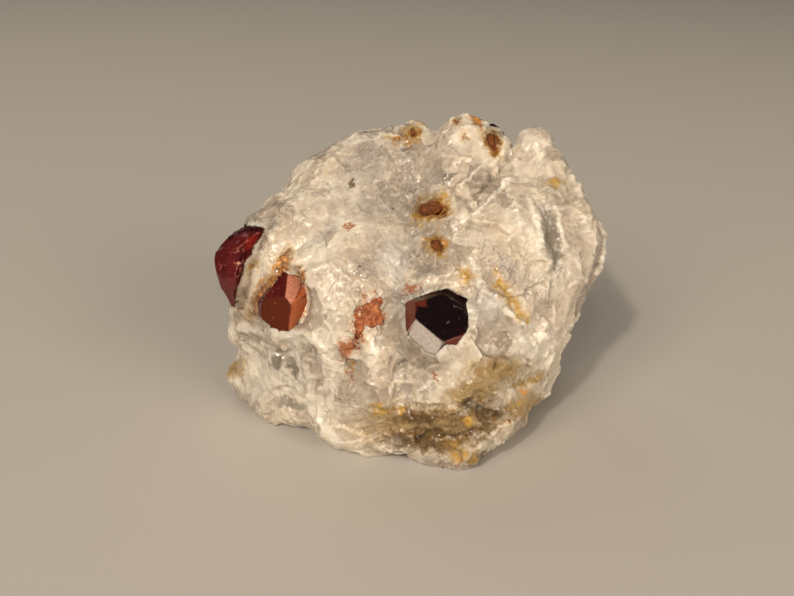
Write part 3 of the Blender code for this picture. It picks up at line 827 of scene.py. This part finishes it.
def rock_material(colours):
    """Milky quartz with clear faces and stains, with painted shade in creases, on the upper slopes and low on
    the front, and painted highlights on ridges and lit faces: light goes into it, and small facets of it
    glint.
    """
    graph = Graph("milky_quartz")
    place = graph.place()
    broad = graph.noise(place, 6.0, 3.0)
    middle = graph.noise(place, 1.1, 5.0, 0.62)
    fine = graph.noise(place, 0.3, 4.0, 0.65)
    ragged = (middle - 0.5) * 3.0 + (fine - 0.5) * 1.6

    def stain(name, low, high, rag=1.0):
        """How strongly a mark shows: none below low, all of it above high, with a ragged edge."""
        return graph.step(graph.mark(name) + ragged * rag, low, high)

    colour = graph.mix(graph.step(broad, 0.35, 0.65), colours.cream, colours.white)
    sheer = graph.step(graph.mark("face_tone") + ragged * 0.10, 0.44, 0.26)
    small_sheer = graph.step(graph.mark("grain_tone") + ragged * 0.10, 0.40, 0.20)
    colour = graph.mix(sheer * 0.62 + small_sheer * 0.30, colour, colours.sheer)
    colour = graph.mix(stain("taupe", -0.2, 0.8, 0.6) * 0.45, colour, colours.sheer)
    # grey feldspar, and painted shade on the upper slopes and in the long valley
    colour = graph.mix(stain("smoky", -0.2, 0.9, 0.6) * 0.75, colour, colours.smoky)
    warped = graph.vector("ADD", place, graph.noise(place, 1.6, output=1))
    veins = graph.step(graph.cells(warped, 2.8, "DISTANCE_TO_EDGE"), 0.12, 0.0)
    threads = graph.step(graph.noise(place, 1.5, 5.0, 0.65, warp=1.2), 0.50, 0.62)
    veined = graph.step(graph.noise(place, 4.0, 2.0), 0.40, 0.60)
    streaks = graph.step(graph.noise(graph.drawn_out(place, 48, 3.5), 0.8, 5.0, 0.65), 0.54, 0.68)
    # painted glints: tiny white spots
    glint_flecks = graph.step(fine, 0.56, 0.70)
    colour = graph.mix(veins * veined * 0.25 + threads * 0.14, colour, colours.vein_and_highlight)
    colour = graph.mix(streaks * 0.38 + glint_flecks * 0.14, colour, colours.vein_and_highlight)
    # painted highlights along ridges, then painted shade in creases
    colour = graph.mix(graph.step(graph.mark("crease"), -0.2, -1.0) * 0.30, colour, colours.vein_and_highlight)
    colour = graph.mix(graph.step(graph.mark("crease"), 0.4, 1.6) * 0.20, colour, colours.smoky)
    # white quartz, and painted light on lit faces and ridges
    colour = graph.mix(stain("pale", -0.1, 0.8, 0.5) * 0.8, colour, colours.vein_and_highlight)
    colour = graph.mix(stain("bluish", 0.0, 0.7, 0.4) * 0.7, colour, colours.bluish)
    layers = graph.step(graph.noise(graph.drawn_out(place, 5, 4.0), 0.9, 4.0, 0.6), 0.40, 0.60)
    # yellow-brown stain, which low on the front is also painted shade
    colour = graph.mix(stain("honey", -0.3, 0.6, 0.35) * (0.62 + fine * 0.4), colour, colours.honey)
    # brown stain low on the front, with painted shade under the ledge
    colour = graph.mix(stain("umber", -0.3, 0.6, 0.5) * (0.70 + layers * 0.3), colour, colours.umber)
    colour = graph.mix(stain("ochre", -0.2, 1.0) * 0.9, colour, colours.ochre)
    rust_colour = graph.mix(graph.step(fine, 0.38, 0.62), colours.rust_dark, colours.rust)
    colour = graph.mix(stain("brick", -0.1, 0.8) * (0.5 + fine * 0.9), colour, colours.brick)
    colour = graph.mix(stain("halo", -0.2, 0.7, 0.5) * 0.7, colour, colours.ochre)
    halo_colour = graph.mix(0.35, colours.rust_dark, colours.rust)
    colour = graph.mix(stain("halo", 0.25, 0.95, 0.5), colour, halo_colour)
    colour = graph.mix(stain("rust", -0.5, 0.5, 0.7) * 0.45, colour, colours.ochre)
    colour = graph.mix(stain("rust", 0.0, 1.0, 0.7), colour, rust_colour)
    colour = graph.mix(stain("amber", -0.1, 0.8, 0.6), colour, colours.flame)
    seep = graph.step(graph.noise(place, 9.0, 5.0, 0.6), 0.54, 0.66) * graph.mark("behind")
    colour = graph.mix(seep * 0.55, colour, colours.honey)
    spots = graph.step(graph.noise(place, 3.6, 5.0, 0.6), 0.66, 0.72) * graph.mark("behind")
    colour = graph.mix(spots * 0.85, colour, rust_colour)
    colour = graph.mix(graph.step(graph.mark("soot"), 0.0, 0.4), colour, SOOT)

    glassy = stain("clear", -0.1, 0.5, 0.5)
    wet = graph.step(middle, 0.40, 0.60)
    sparkle = graph.step(graph.noise(place, 1.6, 3.0, 0.6), 0.54, 0.62)
    roughness = 0.32 - wet * 0.08 - glassy * 0.08 - sheer * 0.04 - sparkle * 0.12
    leaning = graph.glinting_normal(place, (0.9, 0.26), (0.30, 0.22 + sparkle * 0.40))
    grain = graph.bump(fine, 0.14, 0.06, leaning)
    milky = graph.surface({
        "Base Color": colour, "Roughness": roughness, "IOR": QUARTZ_INDEX, "Normal": grain,
        "Subsurface Weight": 1.0, "Subsurface Radius": (1.0, 0.90, 0.80), "Subsurface Scale": 0.85 * MM,
    })
    window_colour = graph.mix(glassy * 0.8, colour, colours.window)
    clear = graph.surface({
        "Base Color": window_colour, "Roughness": 0.10, "IOR": QUARTZ_INDEX, "Transmission Weight": 0.6,
        "Normal": leaning,
    })
    share = glassy * 0.7 + sheer * 0.25 + small_sheer * 0.10
    return graph.finish(graph.node("ShaderNodeMixShader", {}, {0: share, 1: milky, 2: clear}))


def garnet_material(name, body, paints, film, density, roughness=0.06, sheen=(0.6, 0.45, 0.42),
                    chipped=0.0, clarity=0.75):
    """A glassy garnet: body colour, other colours where its marks are set, and patches of painted highlight
    on a rough skin.
    """
    graph = Graph(name)
    place = graph.place()
    cloud = graph.noise(place, 1.2, 5.0, 0.6)
    fine = graph.noise(place, 0.22, 4.0, 0.65)
    colour = graph.mix(graph.step(cloud, 0.40, 0.70) * 0.6, body, tuple(0.4 * part for part in body))
    for mark, paint in paints.items():
        share = graph.step(graph.mark(mark) + (cloud - 0.5) * 0.9 + (fine - 0.5) * 0.4, -0.12, 0.22)
        colour = graph.mix(share * (0.65 + fine * 0.6), colour, paint)
    scratches = graph.noise(graph.vector("MULTIPLY", place, (1.0, 1.0, 4.0)), 0.4, 5.0, 0.65)
    leaning = graph.glinting_normal(place, (1.1, chipped), (0.4, chipped * 0.6))
    skin = graph.bump(scratches, 0.35, 0.03, leaning)
    glass = graph.surface({
        "Base Color": colour, "Roughness": roughness, "IOR": GARNET_INDEX, "Transmission Weight": clarity,
        "Specular Tint": sheen, "Normal": skin,
    })
    # painted reflections and highlights, on a rough skin
    highlight_speckle = graph.mix(graph.step(fine, 0.38, 0.62), film, tuple(0.62 * part for part in film))
    etched_and_lit = graph.surface({
        "Base Color": highlight_speckle, "Roughness": 0.35, "IOR": 1.6, "Normal": graph.bump(fine, 0.5, 0.05),
    })
    share = graph.step(graph.mark("film") + (fine - 0.5) * 0.5, -0.05, 0.10)
    # painted glints: small pale spots
    glint_specks = graph.step(graph.noise(place, 0.30, 2.0), 0.72, 0.76)
    share = graph.node("ShaderNodeMath", {"operation": "MAXIMUM"}, {0: share * 0.8, 1: glint_specks * 0.7})
    shader = graph.node("ShaderNodeMixShader", {}, {0: share, 1: glass, 2: etched_and_lit})
    inside = graph.node("ShaderNodeVolumeAbsorption", {}, {"Color": GARNET_DEPTH, "Density": density})
    return graph.finish(shader, inside)


def rust_material(name, dark, light, roughness, bits, lean):
    """Crushed or rusted garnet, with this share of pale bits of rock in it."""
    graph = Graph(name)
    place = graph.place()
    fine = graph.noise(place, 0.3, 5.0, 0.7)
    middle = graph.noise(place, 0.9, 3.0)
    colour = graph.mix(graph.step(fine * 0.6 + middle * 0.4, 0.38, 0.62), dark, light)
    pale_bits = graph.step(graph.noise(place, 0.7, 4.0, 0.6), 0.60, 0.66) * bits
    colour = graph.mix(pale_bits, colour, PALE_BITS)
    skin = graph.bump(fine, 0.4, 0.08, graph.glinting_normal(place, (0.3, lean)))
    shader = graph.surface({
        "Base Color": colour, "Roughness": roughness, "IOR": 1.45, "Normal": skin,
        "Subsurface Weight": 0.2, "Subsurface Radius": (1.0, 0.4, 0.2), "Subsurface Scale": 0.4 * MM,
    })
    return graph.finish(shader)


def floor_material(tone):
    graph = Graph("pale_floor")
    place = graph.place()
    grain = graph.noise(place, 3.0, 4.0)
    mottled = graph.mix(grain * 0.06, tone, FLOOR_GRAIN)
    return graph.finish(graph.surface({"Base Color": mottled, "Roughness": 0.85}))


# pieces


def add_mesh(name, points, faces, material, smooth=True):
    """A mesh object from points in millimetres."""
    mesh = bpy.data.meshes.new(name)
    mesh.from_pydata((np.asarray(points) * MM).tolist(), [], [tuple(face) for face in faces])
    mesh.materials.append(material)
    if smooth:
        mesh.shade_smooth()
    made = bpy.data.objects.new(name, mesh)
    bpy.context.scene.collection.objects.link(made)
    return made


def hand_over(piece, node):
    """Ties the piece to the specimen's one body, and hides the solid that it stands for."""
    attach(piece, "root")
    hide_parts(node)


# patches of another colour on the large garnets, as outlines on the sheet; most are painted light and shade:
# reflections, glints, light shining through, and lit and shaded faces
PATCHES = {
    "garnet_dark": {
        # painted reflection of the light on the lower left facet; the small outlines are painted glints
        "film": [
            [(2.15, -2.51), (5.57, -5.17), (4.35, -6.60), (3.20, -6.40), (1.20, -4.35)],
            [(6.48, -1.05), (6.70, -1.02), (6.66, -1.22), (6.46, -1.20)],
            [(6.40, -0.70), (7.50, -1.20), (7.46, -1.32), (6.36, -0.82)],
            [(5.66, -2.90), (5.90, -2.62), (6.06, -2.66), (5.84, -2.94)],
            [(7.05, -2.28), (7.20, -2.24), (7.18, -2.42), (7.04, -2.42)],
        ],
        # painted light: red where light shines through the thin parts of the near-black garnet
        "red": [
            [(0.90, -0.40), (1.86, -0.10), (2.30, -0.40), (2.26, -1.86), (2.07, -2.51), (1.45, -3.56),
             (1.00, -3.80)],
            [(2.23, -0.25), (3.42, -0.09), (3.42, -1.10), (2.34, -0.90)],
            [(5.57, -5.09), (6.29, -4.60), (7.91, -3.88), (7.59, -4.60), (6.70, -5.60), (5.97, -5.60)],
        ],
        "brown": [[(2.00, 0.05), (4.36, 1.00), (5.90, 1.20), (5.81, 0.85), (3.87, 0.07), (2.18, -0.45)]],
    },
    "garnet_left": {
        # painted glints: bright red
        "red": [[(-17.2, 7.0), (-15.8, 7.2), (-16.4, 5.9), (-17.4, 5.6)]],
        "brown": [[(-20.9, 2.2), (-18.6, 2.6), (-18.2, 1.4), (-18.8, -1.6), (-20.4, -0.8)]],
        # painted highlight: a thin pinkish streak
        "film": [[(-18.9, 4.0), (-18.1, 4.22), (-17.7, 4.0), (-18.3, 3.78)]],
        "shade": [[(-20.4, 6.4), (-18.8, 7.0), (-17.2, 7.5), (-15.6, 7.5), (-14.6, 8.6), (-18.6, 8.8),
                   (-21.0, 6.6)],
                  [(-17.9, 5.6), (-17.2, 5.0), (-17.4, 2.6), (-18.4, 1.2), (-18.6, 3.2)]],
    },
    # painted light and shade on one crystal: its faces are coloured by how light falls on them, lit on the
    # right and shaded in the upper left
    "garnet_orange": {
        "brown": [[(-15.07, 0.16), (-13.0, 0.16), (-12.21, -0.81), (-12.54, -3.9), (-13.63, -3.9),
                   (-14.61, -3.5), (-15.8, -2.42), (-15.9, -1.15)]],
        "red": [[(-12.21, -0.81), (-11.73, 0.0), (-10.1, 0.23), (-10.1, -0.58), (-11.0, -2.6), (-11.73, -3.6),
                 (-12.48, -4.1)],
                [(-11.6, 2.9), (-10.5, 2.07), (-10.4, 0.10), (-11.7, -0.2), (-11.1, 1.2), (-11.2, 2.2)]],
        # painted pearly highlight on the upper right face
        "film": [[(-12.54, 2.9), (-11.7, 2.7), (-11.2, 2.2), (-11.1, 1.2), (-11.6, 0.1), (-12.19, -0.81),
                  (-12.88, 0.12)]],
    },
}


NO_PATCH = -1.0  # a patch's mark at this distance or more outside it
TUCK = 2.4  # how steeply a garnet leads back outside its window
TUCK_WIDTH = 1.2  # how far outside it still leads further back
CRYSTAL_EDGE = 0.28  # longest edge on a crystal, so that it can carry its patches
CRYSTAL_CUTS = 7  # enough rounds of halving edges to get there


def refined_crystal(name, bevel):
    """The solid's own shape with worn edges and enough points to carry its marks."""
    shape = bmesh.new()
    shape.from_mesh(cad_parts[name].data)
    bmesh.ops.scale(shape, vec=(1 / MM,) * 3, verts=shape.verts)
    bmesh.ops.remove_doubles(shape, verts=shape.verts, dist=0.002)
    bmesh.ops.dissolve_limit(shape, angle_limit=math.radians(2), verts=shape.verts, edges=shape.edges)
    bmesh.ops.bevel(shape, geom=shape.edges[:], offset=bevel, segments=2, profile=0.6, affect="EDGES")
    bmesh.ops.triangulate(shape, faces=shape.faces[:])
    for _ in range(CRYSTAL_CUTS):
        long = [edge for edge in shape.edges if edge.calc_length() > CRYSTAL_EDGE]
        bmesh.ops.subdivide_edges(shape, edges=long, cuts=1)
        bmesh.ops.triangulate(shape, faces=shape.faces[:])
    return shape


# left of the first and below the second a garnet stands free of the rock, and keeps to its outline
FREE_SIDE = {"garnet_left": (-17.6, 2.6)}


def tuck_in(points, name):
    """Leads what would show of a garnet outside its window steeply back into the rock."""
    outline = garnet_outline(name)
    right, up = on_sheet(points)
    away, place = nearest_on_outline(right, up, outline)
    outside = np.where(inside_outline(right, up, outline), 0.0, away)
    free_right, free_up = FREE_SIDE.get(name, (-FAR, -FAR))
    free = (outside > 0) & ((right < free_right) | (up < free_up))
    depth = ((points - EYE) @ SIGHT) / SHEET_DISTANCE
    shift = np.where(free, place - np.array((right, up)), 0.0) * depth
    points = points + shift[0][:, None] * SHEET_RIGHT + shift[1][:, None] * SHEET_UP
    outside = np.where(free, 0.0, outside)
    arms = points - EYE
    reach = np.linalg.norm(arms, axis=1, keepdims=True)
    return points + arms / reach * (TUCK * np.minimum(outside, TUCK_WIDTH))[:, None]


def add_crystal(name, material, bevel, rough=0.0, worn=0, swell=0.0):
    """One garnet in place of its solid; worn is rounds of smoothing, and swell and rough are millimetres."""
    shape = refined_crystal(name, bevel)
    all_axes = {"use_axis_x": True, "use_axis_y": True, "use_axis_z": True}
    for _ in range(worn):
        bmesh.ops.smooth_vert(shape, verts=shape.verts, factor=0.5, **all_axes)
    shape.normal_update()
    points = np.array([vert.co for vert in shape.verts])
    normals = np.array([vert.normal for vert in shape.verts])
    points = points + (swell + rough * noise_at(points, size=0.5, octaves=4, seed=21))[:, None] * normals
    faces = [[vert.index for vert in face.verts] for face in shape.faces]
    shape.free()
    if name != BEHIND_THE_CREST:
        points = tuck_in(points, name)
    piece = add_mesh(name + "_crystal", points, faces, material, smooth=worn > 0)
    right, up = on_sheet(points)
    for mark in ("film", "red", "brown", "shade"):
        value = np.full(len(points), NO_PATCH)
        for outline in PATCHES.get(name, {}).get(mark, ()):
            away, _ = nearest_on_outline(right, up, outline)
            value = np.maximum(value, np.where(inside_outline(right, up, outline), away, -away))
        layer = piece.data.attributes.new(mark, "FLOAT", "POINT")
        layer.data.foreach_set("value", value.astype(np.float32))
    hand_over(piece, name)
    return piece


# settings


def colour_setting(name, description, default):
    return FloatVectorProperty(name=name, description=description, subtype="COLOR", size=3, default=default)


def power_setting(name, description, default):
    return FloatProperty(name=name, description=description, unit="POWER", default=default)


class RockSettings(bpy.types.PropertyGroup):
    """Sizes and colours of the rock."""

    grid_side: IntProperty(name="Grid side", description="Cells along the surface grid's edge", default=128)
    front_share: FloatProperty(name="Front share", description="How much finer the front is", default=0.30)
    cream: colour_setting("Cream", "Warm quartz", (0.66, 0.565, 0.445))
    white: colour_setting("White", "Milky quartz", (0.76, 0.70, 0.60))
    sheer: colour_setting("Sheer", "Quartz that light passes into", (0.42, 0.335, 0.26))
    # white of the veins, also the colour of painted highlights on ridges and lit faces
    vein_and_highlight: colour_setting("Vein", "White veins and edges", (0.89, 0.84, 0.745))
    # grey of the feldspar, also the colour of painted shade
    smoky: colour_setting("Smoky", "Grey feldspar", (0.37, 0.325, 0.285))
    bluish: colour_setting("Bluish", "Bluish white lens", (0.64, 0.61, 0.57))
    # yellow-brown stain, also the colour of painted shade low on the front
    honey: colour_setting("Honey", "Honey-stained quartz", (0.36, 0.228, 0.058))
    # brown of the low front, darkened as painted shade
    umber: colour_setting("Umber", "Brown quartz low on the front", (0.13, 0.068, 0.017))
    ochre: colour_setting("Ochre", "Ochre stain", (0.60, 0.37, 0.07))
    brick: colour_setting("Brick", "Crushed garnet in the rock", (0.42, 0.15, 0.05))
    flame: colour_setting("Flame", "Bright orange in a rust stain", (0.62, 0.30, 0.07))
    rust: colour_setting("Rust", "Rust stain", (0.30, 0.085, 0.018))
    rust_dark: colour_setting("Dark rust", "Middle of a rust stain", (0.12, 0.035, 0.012))
    window: colour_setting("Window", "Clear quartz", (0.42, 0.37, 0.28))


class GarnetSettings(bpy.types.PropertyGroup):
    """Sizes and colours of the garnets."""

    bevel: FloatProperty(name="Edge wear", description="Width of a crystal's worn edges, in mm", default=0.06)
    dark: colour_setting("Dark", "Near-black garnet", (0.026, 0.009, 0.014))
    dark_red_lit_through: colour_setting("Dark garnet red", "Red of its thin parts", (0.46, 0.08, 0.04))
    # painted light shining through the dark garnet's thin parts
    dark_brown: colour_setting("Dark garnet brown", "Brown of its top bevel", (0.24, 0.09, 0.04))
    red: colour_setting("Red", "Deep red garnet", (0.27, 0.036, 0.042))
    red_glint: colour_setting("Red glint", "Bright spot in the red garnet", (0.60, 0.03, 0.02))
    red_worn: colour_setting("Worn red", "Speckled low part of the red garnet", (0.30, 0.08, 0.08))
    # painted shade: the orange garnet's body, as dark as its upper left in the shadow of its pocket
    maroon: colour_setting("Maroon", "Upper left of the orange garnet", (0.165, 0.021, 0.021))
    brown: colour_setting("Brown", "Lower face of the orange garnet", (0.155, 0.032, 0.014))
    # painted light on the orange garnet's lit right face
    orange: colour_setting("Orange", "Right face of the orange garnet", (1.0, 0.32, 0.13))
    red_shade: colour_setting("Red shade", "Dark rims of the red garnet", (0.05, 0.004, 0.010))
    # painted reflection on the dark garnet's lower left face
    cream_highlight: colour_setting("Cream film", "Etched face of the dark garnet", (0.27, 0.215, 0.16))
    # painted pearly highlight on the orange and red garnets
    rosy_highlight: colour_setting("Rosy film", "Etched face of the orange garnet", (0.88, 0.37, 0.25))
    crushed_dark: colour_setting("Crushed, dark", "Dark crumbs of the crushed garnet", (0.20, 0.045, 0.016))
    crushed_light: colour_setting("Crushed, light", "Light crumbs of the crushed garnet", (0.56, 0.20, 0.075))
    rusty_dark: colour_setting("Rusty, dark", "Dark spots of a rusty garnet", (0.06, 0.015, 0.002))
    rusty_light: colour_setting("Rusty, light", "Light spots of a rusty garnet", (0.21, 0.058, 0.006))


class StageSettings(bpy.types.PropertyGroup):
    """The floor and the lights."""

    floor: colour_setting("Floor", "Colour of the floor", (0.52, 0.50, 0.47))
    key_power: power_setting("Key light", "Power of the main light", 4.6)
    spark_power: power_setting("Spark", "Power of the small bright light", 2.8)
    rim_power: power_setting("Rim light", "Power of the light from behind", 0.6)
    fill_power: power_setting("Fill light", "Power of the fill light", 4.2)
    room_light: FloatProperty(name="Room light", description="Strength of the light all round", default=0.09)


# operators


# how far the surface faces the eye where the front's marks end, and where they are at full strength
TURNED_AWAY, IN_VIEW = -0.45, -0.15
CREST_FOOT, CREST_TOP = 14.0, 15.0  # above this the relief runs over the edge to the far side
SHARP_EDGE = math.radians(38)
ZONE_EDGE = 0.35  # the share of a zone's radius over which it fades in
GRAINY_ZONE = ((-5.0, 9.5), (12.0, 8.5), 42)
# parts of the front that break in their own way: their middle, radii and turn, then the angle and the
# factor that their faces are drawn out by, the faces' size and a seed
BREAKS = (
    (((11.5, 8.0), (9.5, 12.0), -20), 62, 2.2, 2.2, 2),
    (((-10.0, -9.0), (7.0, 9.0), 10), -62, 2.6, 1.5, 3),
    (((5.0, -15.0), (13.0, 4.8), 0), 4, 2.4, 1.8, 4),
    (((-7.5, 9.5), (12.0, 7.0), 42), 42, 2.2, 1.3, 5),
)


class SPECIMEN_OT_rock(bpy.types.Operator):
    """Build the quartz rock with its garnet pockets"""

    bl_idname = "specimen.rock"
    bl_label = "Rock"

    def execute(self, context):
        settings = context.scene.rock_settings
        grid = base_grid(settings.grid_side, settings.front_share)
        towards = EYE - grid.points
        towards /= np.linalg.norm(towards, axis=1, keepdims=True)
        own_facing = smoothstep(TURNED_AWAY, IN_VIEW, (grid.normals() * towards).sum(axis=1))
        right, up = on_sheet(grid.points)
        hand_relief(grid, np.maximum(own_facing, smoothstep(CREST_FOOT, CREST_TOP, up)))

        def zone(middle, radii, turn):
            return own_facing * smoothstep(0.0, ZONE_EDGE, blob(right, up, middle, radii, turn))

        spotty = np.clip(0.2 + noise_at(grid.points, size=7.0, octaves=2, seed=31), 0.0, 1.0)
        grainy = np.maximum(spotty * 0.5, zone(*GRAINY_ZONE))
        crisp = 1.0 - 0.55 * grainy
        face_tone = break_into_faces(
            grid, size=4.6, tilt=0.20, scoop=0.17, weight=0.8 * crisp, grainy=np.zeros_like(grainy), seed=1,
        )
        for part, angle, factor, size, seed in BREAKS:
            break_into_faces(
                grid, size, tilt=0.20, scoop=0.15, weight=0.5 * zone(*part) * crisp, grainy=grainy, seed=seed,
                squash=stretched_along(angle, factor),
            )
        grain_tone = break_into_faces(
            grid, size=1.7, tilt=0.22, scoop=0.13, weight=0.45 * crisp + 0.1, grainy=grainy, seed=6,
        )
        limit_spikes(grid, limit=0.14)
        break_into_faces(
            grid, size=0.85, tilt=0.24, scoop=0.10, weight=0.18 + 0.22 * grainy, grainy=grainy, seed=7,
        )
        lumps = noise_at(grid.points, size=0.9, octaves=4, seed=41) * (0.015 + 0.06 * grainy)
        grid.points = grid.points + lumps[:, None] * grid.normals(rounds=4)
        open_windows(grid)
        grid.points[:, 2] = np.maximum(grid.points[:, 2], 0.0)
        piece = add_mesh("matrix_skin", grid.points, grid.quads, rock_material(settings))
        piece.data.set_sharp_from_angle(angle=SHARP_EDGE)
        set_marks(piece.data, grid, own_facing, {"face_tone": face_tone, "grain_tone": grain_tone})
        hand_over(piece, "matrix")
        return {"FINISHED"}


class SPECIMEN_OT_large_garnets(bpy.types.Operator):
    """Build the dark, the red and the orange garnet"""

    bl_idname = "specimen.large_garnets"
    bl_label = "Large garnets"

    def execute(self, context):
        settings = context.scene.garnet_settings
        dark_paints = {"red": settings.dark_red_lit_through, "brown": settings.dark_brown}
        dark = garnet_material("garnet_dark", settings.dark, dark_paints, settings.cream_highlight, density=900.0)
        red_paints = {"red": settings.red_glint, "brown": settings.red_worn, "shade": settings.red_shade}
        red = garnet_material(
            "garnet_red", settings.red, red_paints, settings.rosy_highlight, density=300.0,
            roughness=0.16, sheen=(0.60, 0.20, 0.16), chipped=0.3,
        )
        # the orange garnet's faces carry painted light and shade
        orange_paints = {"red": settings.orange, "brown": settings.brown}
        orange = garnet_material(
            "garnet_orange", settings.maroon, orange_paints, settings.rosy_highlight, density=170.0,
            roughness=0.10, sheen=(0.45, 0.16, 0.10), clarity=0.5,
        )
        add_crystal("garnet_dark", dark, settings.bevel)
        add_crystal("garnet_left", red, settings.bevel * 3, worn=12, swell=0.28)
        add_crystal("garnet_orange", orange, settings.bevel)
        add_crystal("garnet_back", dark, settings.bevel)
        return {"FINISHED"}


class SPECIMEN_OT_small_garnets(bpy.types.Operator):
    """Build the crushed garnet and the small rusty ones"""

    bl_idname = "specimen.small_garnets"
    bl_label = "Small garnets"

    def execute(self, context):
        settings = context.scene.garnet_settings
        brick = rust_material(
            "garnet_crushed", settings.crushed_dark, settings.crushed_light,
            roughness=0.5, bits=0.9, lean=0.5,
        )
        rust = rust_material(
            "garnet_rust", settings.rusty_dark, settings.rusty_light,
            roughness=0.75, bits=0.0, lean=0.1,
        )
        add_crystal("garnet_broken", brick, settings.bevel, rough=0.35)
        for name in RUSTY_GARNETS:
            add_crystal(name, rust, settings.bevel, rough=0.15)
        return {"FINISHED"}


class SPECIMEN_OT_stage(bpy.types.Operator):
    """Set up the floor, the lights and the camera"""

    bl_idname = "specimen.stage"
    bl_label = "Stage"

    def execute(self, context):
        settings = context.scene.stage_settings
        add_floor(settings.floor)
        for name, (place, side, tint) in LIGHTS.items():
            add_light(name, place, side, getattr(settings, name + "_power"), tint)
        add_world(context.scene, settings.room_light)
        add_camera(context.scene)
        context.scene.view_settings.view_transform = "Standard"
        return {"FINISHED"}


# the lights' places and sides in metres, and their tints
LIGHTS = {
    "key": ((-0.35, -0.64, 0.55), 0.50, (1.0, 0.86, 0.69)),
    "spark": ((-0.30, -0.66, 0.62), 0.05, (1.0, 0.88, 0.74)),
    "rim": ((-0.25, 0.40, 0.55), 0.40, (1.0, 0.90, 0.78)),
    "fill": ((0.60, -0.62, 0.36), 0.50, (1.0, 0.86, 0.70)),
}
LIGHTS_AIM = Vector((0.0, 0.0, 0.015))
ROOM_TINT = (1.0, 0.89, 0.76, 1.0)
FLOOR_REACH = 4000.0


def add_floor(tone):
    corners = [(-1, -1, 0), (1, -1, 0), (1, 1, 0), (-1, 1, 0)]
    floor = add_mesh("floor", FLOOR_REACH * np.array(corners), [(0, 1, 2, 3)], floor_material(tone))


def add_light(name, place, side, watts, tint):
    """A square soft light aimed at the middle of the specimen."""
    lamp = bpy.data.lights.new(name, "AREA")
    lamp.size = side
    lamp.energy = watts
    lamp.color = tint
    made = bpy.data.objects.new(name, lamp)
    made.location = place
    aim = LIGHTS_AIM - Vector(place)
    made.rotation_euler = aim.to_track_quat("-Z", "Y").to_euler()
    bpy.context.scene.collection.objects.link(made)


def add_world(scene, strength):
    world = bpy.data.worlds.new("room")
    world.use_nodes = True
    backdrop = world.node_tree.nodes["Background"]
    backdrop.inputs["Color"].default_value = ROOM_TINT
    backdrop.inputs["Strength"].default_value = strength
    scene.world = world


def add_camera(scene):
    lens = bpy.data.cameras.new("camera")
    lens.sensor_width = SENSOR_WIDTH
    lens.lens = FOCAL_LENGTH / PHOTO_WIDTH * SENSOR_WIDTH
    lens.clip_start = NEAREST_SEEN
    camera = bpy.data.objects.new("camera", lens)
    camera.location = EYE * MM
    camera.rotation_euler = (math.pi / 2 - SIGHT_SLOPE, 0.0, 0.0)
    scene.collection.objects.link(camera)
    scene.camera = camera


class SPECIMEN_PT_panel(bpy.types.Panel):
    """The specimen's operators in the sidebar"""

    bl_idname = "SPECIMEN_PT_panel"
    bl_label = "Garnet in Matrix"
    bl_space_type = "VIEW_3D"
    bl_region_type = "UI"
    bl_category = "Garnet in Matrix"

    def draw(self, context):
        for operator in OPERATORS:
            self.layout.operator(operator.bl_idname)


OPERATORS = (SPECIMEN_OT_rock, SPECIMEN_OT_large_garnets, SPECIMEN_OT_small_garnets, SPECIMEN_OT_stage)
SETTINGS = {"rock_settings": RockSettings, "garnet_settings": GarnetSettings, "stage_settings": StageSettings}


def register():
    for made in (*SETTINGS.values(), *OPERATORS, SPECIMEN_PT_panel):
        bpy.utils.register_class(made)
    for name, settings in SETTINGS.items():
        setattr(bpy.types.Scene, name, PointerProperty(type=settings))


def unregister():
    for name in SETTINGS:
        delattr(bpy.types.Scene, name)
    for made in reversed((*SETTINGS.values(), *OPERATORS, SPECIMEN_PT_panel)):
        bpy.utils.unregister_class(made)


def main():
    register()
    bpy.ops.specimen.rock()
    bpy.ops.specimen.large_garnets()
    bpy.ops.specimen.small_garnets()
    bpy.ops.specimen.stage()


if __name__ == "__main__":
    main()
